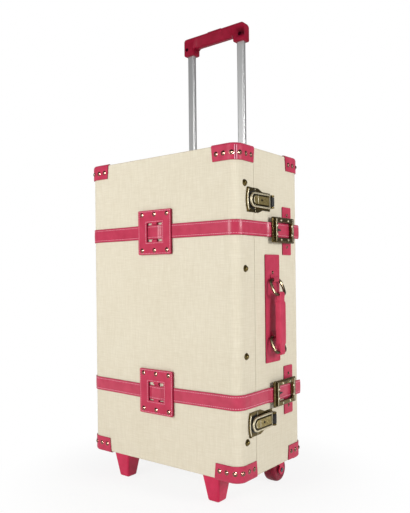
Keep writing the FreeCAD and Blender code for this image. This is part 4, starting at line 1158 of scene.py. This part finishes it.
rows = [(x, y) for x in (-GRIP_STITCH_X, GRIP_STITCH_X) for y in (-GRIP_STITCH_Y, GRIP_STITCH_Y)]
spots = [Vector((x, y, z)) * MM for x, y in rows for z in GRIP_STITCHES]
bm = bmesh.new()
stamp(bm, stitch, [Matrix.Translation(grip_middle + spot) for spot in spots])
piece("carry_grip_stitches", bm, [leather], "carry_handle", "leather")
print("grip rings", len(GRIP_RINGS), "stitches", len(spots))

# %% [markdown]
# The two front feet are moulded blocks that narrow towards the floor. A cone would be round, so a box is
# tapered by scaling its lower corners, and its edges are rounded, the sole's a little less.

# %% Front feet
FOOT_TAPER, FOOT_RADIUS, SOLE_RADIUS = 25 / 41, 4 * MM, 3.5 * MM
for side in SIDES:
    low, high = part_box("front_foot_" + side)
    bm = bmesh.new()
    bmesh.ops.create_cube(bm, size=1.0)
    bmesh.ops.scale(bm, vec=high - low, verts=bm.verts)
    bmesh.ops.scale(bm, vec=(FOOT_TAPER, FOOT_TAPER, 1), verts=[v for v in bm.verts if v.co.z < 0])
    bmesh.ops.translate(bm, vec=(low + high) / 2, verts=bm.verts)
    round_edges(bm, [e for e in bm.edges if climb_of(e) > MM], FOOT_RADIUS, 3)
    round_edges(bm, [e for e in bm.edges if all(v.co.z < low.z + MM for v in e.verts)], SOLE_RADIUS, 3)
    piece("front_foot_%s_moulding" % side, bm, [foot_plastic], "base", "crimson_plastic",
          ["front_foot_" + side], edge=0.6 * MM)
print("feet", len(SIDES))

# %% [markdown]
# Each rear wheel is a broad tyre with round shoulders and a dished side round the hub. A cylinder with
# rounded rims would lack the dish, so the whole section is turned round the axle, like the rivets.

# %% Wheels
TYRE_HALF = [(24, 6), (23.3, 9.6), (21.6, 12), (19.5, 13), (16, 12.6), (9.5, 12.2), (8, 11), (3.1, 11)]
tyre = lathe([(r, -z) for r, z in TYRE_HALF[::-1]] + TYRE_HALF + [(3.1, -11)], 48)
for side in SIDES:
    low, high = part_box("wheel_" + side)
    bm = bmesh.new()
    stamp(bm, tyre, [Matrix.Translation((low + high) / 2) @ Matrix.Rotation(math.pi / 2, 4, "Y")])
    piece("wheel_%s_tyre" % side, bm, [tyre_rubber], side + "_wheel", "wheel_rubber",
          ["wheel_" + side], sharp=50)
print("wheels", len(SIDES), "with", len(tyre.polygons), "faces each")

# %% [markdown]
# The pull-out grip is one moulding: a bar with two short legs, drawn in below where fingers go round it.
# Three boxes could be joined, but the joints would show. So one box is scored, its two ends are extruded
# down as legs, and the underside between them is narrowed. The sides then fold, and an edge is laid along
# each fold.

# %% Block of the pull-out grip
GRIP_LEG, GRIP_BAR, GRIP_WAIST, GRIP_NARROW = 28 * MM, 26 * MM, 9 * MM, 0.5
grip_low, grip_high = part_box("trolley_grip")
grip_centre = (grip_low + grip_high) / 2
under = grip_high.z - GRIP_BAR
inner_left, inner_right = grip_low.x + GRIP_LEG, grip_high.x - GRIP_LEG
waist_left, waist_right = inner_left + GRIP_WAIST, inner_right - GRIP_WAIST
bm = bmesh.new()
bmesh.ops.create_cube(bm, size=1.0)
bmesh.ops.scale(bm, vec=(grip_high.x - grip_low.x, grip_high.y - grip_low.y, GRIP_BAR), verts=bm.verts)
bmesh.ops.translate(bm, vec=(grip_centre.x, grip_centre.y, under + GRIP_BAR / 2), verts=bm.verts)
for x in (inner_left, waist_left, waist_right, inner_right):
    score(bm, (x, 0, 0), (1, 0, 0))
ends = [f for f in bm.faces if f.normal.z < -0.9 and not inner_left < f.calc_center_median().x < inner_right]
legs = verts_in(bmesh.ops.extrude_face_region(bm, geom=ends)["geom"])
bmesh.ops.translate(bm, vec=(0, 0, grip_low.z - under), verts=legs)
waist = [v for v in bm.verts if abs(v.co.z - under) < 1e-6 and inner_left + MM < v.co.x < inner_right - MM]
bmesh.ops.scale(bm, vec=(1, GRIP_NARROW, 1), space=Matrix.Translation(-grip_centre), verts=waist)
bmesh.ops.recalc_face_normals(bm, faces=bm.faces)
for x, waist_x in ((inner_left, waist_left), (inner_right, waist_right)):
    for y in (grip_low.y, grip_high.y):
        fold_ends = [Vector((waist_x, y, grip_high.z)), Vector((x, y, under))]
        pair = [min(bm.verts, key=lambda v: (v.co - spot).length) for spot in fold_ends]
        bmesh.ops.connect_vert_pair(bm, verts=pair)
print("legs", len(ends), "faces", len(bm.faces))

# %% [markdown]
# Its edges are rounded by different amounts: the shoulders at both ends, the crown more at the back than
# at the front, and the rest a little. Bevels made one after another tear the corners where they meet. So
# every edge gets a weight, and one Bevel modifier rounds them all at once.

# %% Rounded edges of the pull-out grip
GRIP_CORNER, GRIP_SOFT, GRIP_CROWN, GRIP_NAPE = 8 * MM, 3.5 * MM, 5.5 * MM, 11 * MM
SHARP_FOLD, ACROSS = 0.6, 20 * MM
roundness = bm.edges.layers.float.new("bevel_weight_edge")
for e in bm.edges:
    if e.calc_face_angle(0) > SHARP_FOLD:
        a, b = e.verts[0].co, e.verts[1].co
        radius = GRIP_SOFT
        if min(a.z, b.z) > grip_high.z - MM:
            radius = GRIP_NAPE if a.y > grip_centre.y else GRIP_CROWN
            if abs(a.y - b.y) > ACROSS:
                radius = GRIP_CORNER
        e[roundness] = radius / GRIP_NAPE
mesh = bpy.data.meshes.new("grip_block")
bm.to_mesh(mesh)
bm.free()
block = bpy.data.objects.new("grip_block", mesh)
bpy.context.scene.collection.objects.link(block)
rounding = block.modifiers.new("rounding", "BEVEL")
rounding.limit_method, rounding.width, rounding.segments = "WEIGHT", GRIP_NAPE, 4
rounding.use_clamp_overlap = False
settle(block)
bm = bmesh.new()
bm.from_mesh(block.data)
bpy.data.objects.remove(block)
depths = [v.co.y for v in bm.verts]
print("rounded grip", len(bm.faces), "faces, from", round(min(depths), 4), "to", round(max(depths), 4))

# %% [markdown]
# The release button sits in a pocket in the top. A boolean could sink it, but the pocket widens below its
# lip, where the button has a flange. So the faces over the button are taken out, and the rim left there is
# pulled down to the lip, out, and down to the bottom.

# %% Pocket of the release button
POCKET_X, POCKET_Y, POCKET_LIP, POCKET_DEEP, FLANGE = 19.35 * MM, 6.35 * MM, 4.5 * MM, 11 * MM, 1.5 * MM
button_low, button_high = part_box("trolley_button")
button_middle = (button_low + button_high) / 2
for sign in (-1, 1):
    score(bm, button_middle + Vector((sign * POCKET_X, 0, 0)), (1, 0, 0))
    score(bm, button_middle + Vector((0, sign * POCKET_Y, 0)), (0, 1, 0))
opening = []
for f in bm.faces:
    off = f.calc_center_median() - button_middle
    if f.normal.z > 0.1 and abs(off.x) < POCKET_X and abs(off.y) < POCKET_Y:
        opening.append(f)
bmesh.ops.delete(bm, geom=opening, context="FACES")
rim = [e for e in bm.edges if e.is_boundary]
for depth, wider in ((POCKET_LIP, 0), (POCKET_LIP, FLANGE), (POCKET_DEEP, 0)):
    made = bmesh.ops.extrude_edge_only(bm, edges=rim)["geom"]
    lower = verts_in(made)
    for v in lower:
        v.co.z = grip_high.z - depth
        off = v.co.x - button_middle.x
        if abs(off) > POCKET_X - MM:
            v.co.x += math.copysign(wider, off)
    rim = edges_in(made, lower)
bmesh.ops.holes_fill(bm, edges=rim, sides=0)
bmesh.ops.recalc_face_normals(bm, faces=bm.faces)
print("pocket rim", len(rim), "edges, open edges left", sum(e.is_boundary for e in bm.edges))
piece("trolley_grip_moulding", bm, [grip_plastic], "trolley", "crimson_plastic",
      ["trolley_grip"], edge=0.5 * MM)

# %% [markdown]
# Two sunk screws hold the tubes in the legs. Their near-black colour is painted shade of the sunk holes.
# Dark flat discs would do from the front; turned cups with a rim also hold up from the side.

# %% Screws of the pull-out grip
SCREW_IN, SCREW_UP = 9.5 * MM, 14 * MM
screw = lathe([(0, 0.3), (2.2, 0.3), (2.8, 0.7), (3.5, 0.7), (3.8, 0.3), (3.8, -2), (0, -2)], 24)
screw_x = (grip_low.x + SCREW_IN, grip_high.x - SCREW_IN)
bm = bmesh.new()
stamp(bm, screw, [facing((x, grip_low.y, grip_low.z + SCREW_UP), (0, -1, 0)) for x in screw_x])
piece("trolley_grip_screws", bm, [screw_shade_plastic], "trolley", "crimson_plastic")
print("screws", len(screw_x))

# %% [markdown]
# Each latch is a hasp that swings on a pin: a pale bow bent like the letter U, closed by a bar, and a
# black knuckle round the pin. The bow could be cut from a plate, but its real section is a rounded bar, so
# that section is pulled along two arms and a half turn.

# %% Hasp bows and knuckles
BOW_HEIGHT, BOW_BAR, BOW_THICK, BOW_LIFT, BOW_SOFT = 27 * MM, 3.3 * MM, 4.5 * MM, 2.4 * MM, 1.2 * MM
KNUCKLE, PIN_IN = 5.5 * MM, 2 * MM
KNUCKLE_OUTLINE = [(2.1, -8.6), (4.6, -8.6), (5.6, -7.6), (5.7, 0), (5.6, 7.6), (4.6, 8.6), (2.1, 8.6)]
knuckle = lathe(KNUCKLE_OUTLINE + KNUCKLE_OUTLINE[:1], 24)
pin_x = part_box("hasp_pins")[0].x + PIN_IN


def latch_place(level):
    low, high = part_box("hasp_" + level)
    return low, (low.z + high.z) / 2, high.y - KNUCKLE


def close_ends(bm):
    bmesh.ops.holes_fill(bm, edges=[e for e in bm.edges if e.is_boundary], sides=0)
    bmesh.ops.recalc_face_normals(bm, faces=bm.faces)


for level in LEVELS:
    low, z, pin_y = latch_place(level)
    arm, reach = BOW_HEIGHT / 2 - BOW_BAR / 2, pin_y - KNUCKLE - low.y
    bm = sheet(BOW_THICK, BOW_BAR, BOW_SOFT, 0)
    put(bm, Matrix.Translation((reach, -arm, BOW_THICK / 2)) @ Matrix.Rotation(math.pi / 2, 4, "Y"))
    straight = ("run", reach - BOW_HEIGHT / 2)
    sweep(bm, bm.edges[:], (reach, -arm, 0), math.pi, [straight, ("turn", arm, -math.pi), straight])
    close_ends(bm)
    bar = bmesh.new()
    bmesh.ops.create_cube(bar, size=1.0)
    bmesh.ops.scale(bar, vec=(BOW_BAR, 2 * arm, BOW_THICK), verts=bar.verts)
    bmesh.ops.translate(bar, vec=(reach - BOW_BAR / 2, 0, BOW_THICK / 2), verts=bar.verts)
    lay_on(bm, bar)
    put(bm, on_side(low.y, z, low.x + BOW_LIFT))
    piece("%s_hasp_bow" % level, bm, [pale_gold_and_painted_highlight], level + "_hasp", "brass", ["hasp_" + level], sharp=50)
    bm = bmesh.new()
    stamp(bm, knuckle, [Matrix.Translation((pin_x, pin_y, z))])
    piece("%s_hasp_knob" % level, bm, [black_plastic], level + "_hasp", "brass", sharp=50)
print("hasps", len(LEVELS), "reach", round(reach / MM, 1), "mm")

# %% [markdown]
# The catch plate on the lid has a bright curved rim, whose pale gold is partly painted highlight, and a black
# disc that the bow drops over, which is painted shade of the gap round the bow. Both could be pressed into
# the plate; laid on it as a bent rod and a thin dark disc, they keep their own finishes.

# %% Catch rims and painted shade
CATCH_HALF, CATCH_LEAN, CATCH_ROD, CATCH_IN = 18.5 * MM, math.radians(20), 1.1 * MM, 4.2 * MM
SHADE_DISC_RADIUS, SHADE_DISC_STRETCH, SHADE_SHEET_WALL = 17 * MM, 1.15, 0.4 * MM
SHADE_DISC_IN, SHADE_DISC_LIFT, SHADE_DISC_STOP = 2 * MM, 1.9 * MM, 0.4 * MM
plate_low, plate_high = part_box("catch_plates")


def bent_rod(start, lean, radius, segments, bend):
    bm = bmesh.new()
    heading = math.pi / 2 + lean
    turned = Matrix.Rotation(heading, 4, "Z") @ Matrix.Rotation(math.pi / 2, 4, "Y")
    bmesh.ops.create_circle(bm, segments=segments, radius=radius, matrix=Matrix.Translation(start) @ turned)
    sweep(bm, bm.edges[:], start, heading, [("turn", bend, -2 * lean)])
    close_ends(bm)
    return bm


for level in LEVELS:
    _, z, _ = latch_place(level)
    bm = bent_rod(Vector((0, -CATCH_HALF, 0)), CATCH_LEAN, CATCH_ROD, 10, CATCH_HALF / math.sin(CATCH_LEAN))
    put(bm, on_side(plate_low.y + CATCH_IN, z, plate_high.x))
    piece("%s_catch_rim" % level, bm, [pale_gold_and_painted_highlight], "lid", "brass", sharp=60)
    # A thin black disc: painted shade of the gap under the bow.
    bm = bmesh.new()
    bmesh.ops.create_circle(bm, cap_ends=True, segments=40, radius=SHADE_DISC_RADIUS)
    bmesh.ops.scale(bm, vec=(SHADE_DISC_STRETCH, 1, 1), verts=bm.verts)
    put(bm, on_side(plate_high.y - SHADE_DISC_IN, z, right + SHADE_DISC_LIFT))
    cut_away(bm, (0, plate_high.y - SHADE_DISC_STOP, 0), (0, 1, 0))
    piece("%s_catch_well" % level, bm, [black_plastic], "lid", "brass", wall=SHADE_SHEET_WALL)
print("catch plates", [round(c / MM, 1) for c in plate_high - plate_low])

# %% [markdown]
# The lock plate on the base has a black sheet too, painted shade inside the bow round the barrel, and a worn
# nickel edge beside the seam, whose brightness is partly painted highlight. They are thin sheets that stop at
# the knuckle and at the seam, so that nothing is cut when the lid opens.

# %% Lock painted shade and edges
LOCK_FACE, LOCK_GAP, LOCK_SHADE_LIFT = right + 1.6 * MM, 0.4 * MM, 0.3 * MM
LOCK_EDGE_WIDE, LOCK_EDGE_TALL, LOCK_EDGE_CORNER = 1.5 * MM, 43 * MM, 0.5 * MM
LOCK_EDGE_LIFT, LOCK_EDGE_IN = 0.6 * MM, 0.9 * MM
for level in LEVELS:
    _, z, pin_y = latch_place(level)
    # A black sheet inside the bow: painted shade round the barrel.
    plate_edge, shade_end = base_edge + LOCK_GAP, pin_y - KNUCKLE
    bm = sheet(shade_end - plate_edge, BOW_HEIGHT - BOW_BAR, MM, LOCK_SHADE_LIFT)
    put(bm, on_side((shade_end + plate_edge) / 2, z, LOCK_FACE))
    piece("%s_lock_well" % level, bm, [black_plastic], "base", "brass", wall=SHADE_SHEET_WALL)
    # The bright nickel strip is partly painted highlight along the plate's edge.
    bm = sheet(LOCK_EDGE_WIDE, LOCK_EDGE_TALL, LOCK_EDGE_CORNER, LOCK_EDGE_LIFT)
    put(bm, on_side(plate_edge + LOCK_EDGE_IN, z, LOCK_FACE))
    piece("%s_lock_edge" % level, bm, [nickel], "base", "brass", wall=0.7 * MM, edge=0.3 * MM)
print("lock painted shades", len(LEVELS), "from", round(plate_edge, 4), "to", round(shade_end, 4))

# %% [markdown]
# On the lock barrel are a keyhole, a bright ridge across it, whose pale gold is partly painted highlight,
# and a bright arc bent round its near end, a painted highlight of the barrel's rounded end. A keyhole could
# be bored, but at two millimetres a dark inlay looks the same: a disc with a slot through it, whose black is
# painted shade of the hole.

# %% Keyholes, ridges and painted end highlights
KEYHOLE_RADIUS, KEYHOLE_WIDE, KEYHOLE_TALL, KEYHOLE_WALL = 1.9 * MM, 1.8 * MM, 5.6 * MM, 0.2 * MM
KEYHOLE_ALONG, KEYHOLE_UP, KEYHOLE_LIFT, SLOT_CORNER = 0.52, 0.6 * MM, 0.15 * MM, 0.4 * MM
BARREL_RIDGE, BARREL_RIDGE_ALONG, BARREL_RIDGE_SHORT = 1.2 * MM, 0.27, 1.5 * MM
BARREL_RIDGE_CORNER, BARREL_RIDGE_LIFT = 0.4 * MM, 0.7 * MM
END_HIGHLIGHT_RADIUS, END_HIGHLIGHT_ROD, END_HIGHLIGHT_LEAN = 6.2 * MM, 0.8 * MM, math.radians(55)
END_HIGHLIGHT_IN, END_HIGHLIGHT_SUNK = 1.4 * MM, 0.2 * MM
for level in LEVELS:
    _, z, _ = latch_place(level)
    body = level + "_hasp"
    low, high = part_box("lock_barrel_" + level)
    long = high.y - low.y
    bm = bmesh.new()
    # Black disc with a slot: painted shade of the keyhole.
    bmesh.ops.create_circle(bm, cap_ends=True, segments=20, radius=KEYHOLE_RADIUS)
    lay_on(bm, sheet(KEYHOLE_WIDE, KEYHOLE_TALL, SLOT_CORNER, 0))
    put(bm, on_side(low.y + KEYHOLE_ALONG * long, z + KEYHOLE_UP, high.x + KEYHOLE_LIFT))
    piece("%s_keyhole" % level, bm, [black_plastic], body, "brass", wall=KEYHOLE_WALL)
    # The pale ridge is partly painted highlight.
    bm = sheet(BARREL_RIDGE, high.z - low.z - BARREL_RIDGE_SHORT, BARREL_RIDGE_CORNER, BARREL_RIDGE_LIFT)
    put(bm, on_side(low.y + BARREL_RIDGE_ALONG * long, z, high.x))
    piece("%s_barrel_ridge" % level, bm, [pale_gold_and_painted_highlight], body, "brass", wall=0.8 * MM)
    # A bright bent rod: painted highlight of the barrel's rounded end.
    start = Vector((END_HIGHLIGHT_RADIUS * (1 - math.cos(END_HIGHLIGHT_LEAN)), -END_HIGHLIGHT_RADIUS * math.sin(END_HIGHLIGHT_LEAN), 0))
    bm = bent_rod(start, END_HIGHLIGHT_LEAN, END_HIGHLIGHT_ROD, 8, END_HIGHLIGHT_RADIUS)
    put(bm, on_side(low.y + END_HIGHLIGHT_IN, z, high.x - END_HIGHLIGHT_SUNK))
    piece("%s_barrel_collar" % level, bm, [pale_gold_and_painted_highlight], body, "brass", sharp=60)
print("barrels", len(LEVELS), "of", round(long / MM, 1), "mm")

# %% [markdown]
# What is left of the frame, such as hinges, tubes, plates and forks, already has its real shape. It could
# be drawn again, but nothing would be won. It keeps its mesh and gets its finish here, with a softened
# edge that catches light.

# %% Finishes of the CAD pieces
CAD_FINISHES = {
    brass: ["hinge_leaves_base", "hinge_leaves_lid", "hinge_pins", "hasp_pins", "lock_plates", "catch_plates",
            "snap_studs"],
    rubbed_brass: ["lock_barrel_upper", "lock_barrel_lower"],
    aluminium: ["trolley_tube_left", "trolley_tube_right", "trolley_guides"],
    black_plastic: ["trolley_cradle"],
    grip_plastic: ["trolley_button", "trolley_bezel"],
    foot_plastic: ["wheel_fork_left", "wheel_fork_right"],
    steel: ["wheel_axles"],
    lining: ["base_lining_panel", "lid_lining_panel"],
}
for finish, nodes in CAD_FINISHES.items():
    for node in nodes:
        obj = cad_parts[node]
        obj.data.materials.clear()
        obj.data.materials.append(finish)
        obj.modifiers.new("weld", "WELD").merge_threshold = 0.005 * MM
        dress(obj, edge=0.4 * MM)
print("CAD pieces kept", sum(map(len, CAD_FINISHES.values())))
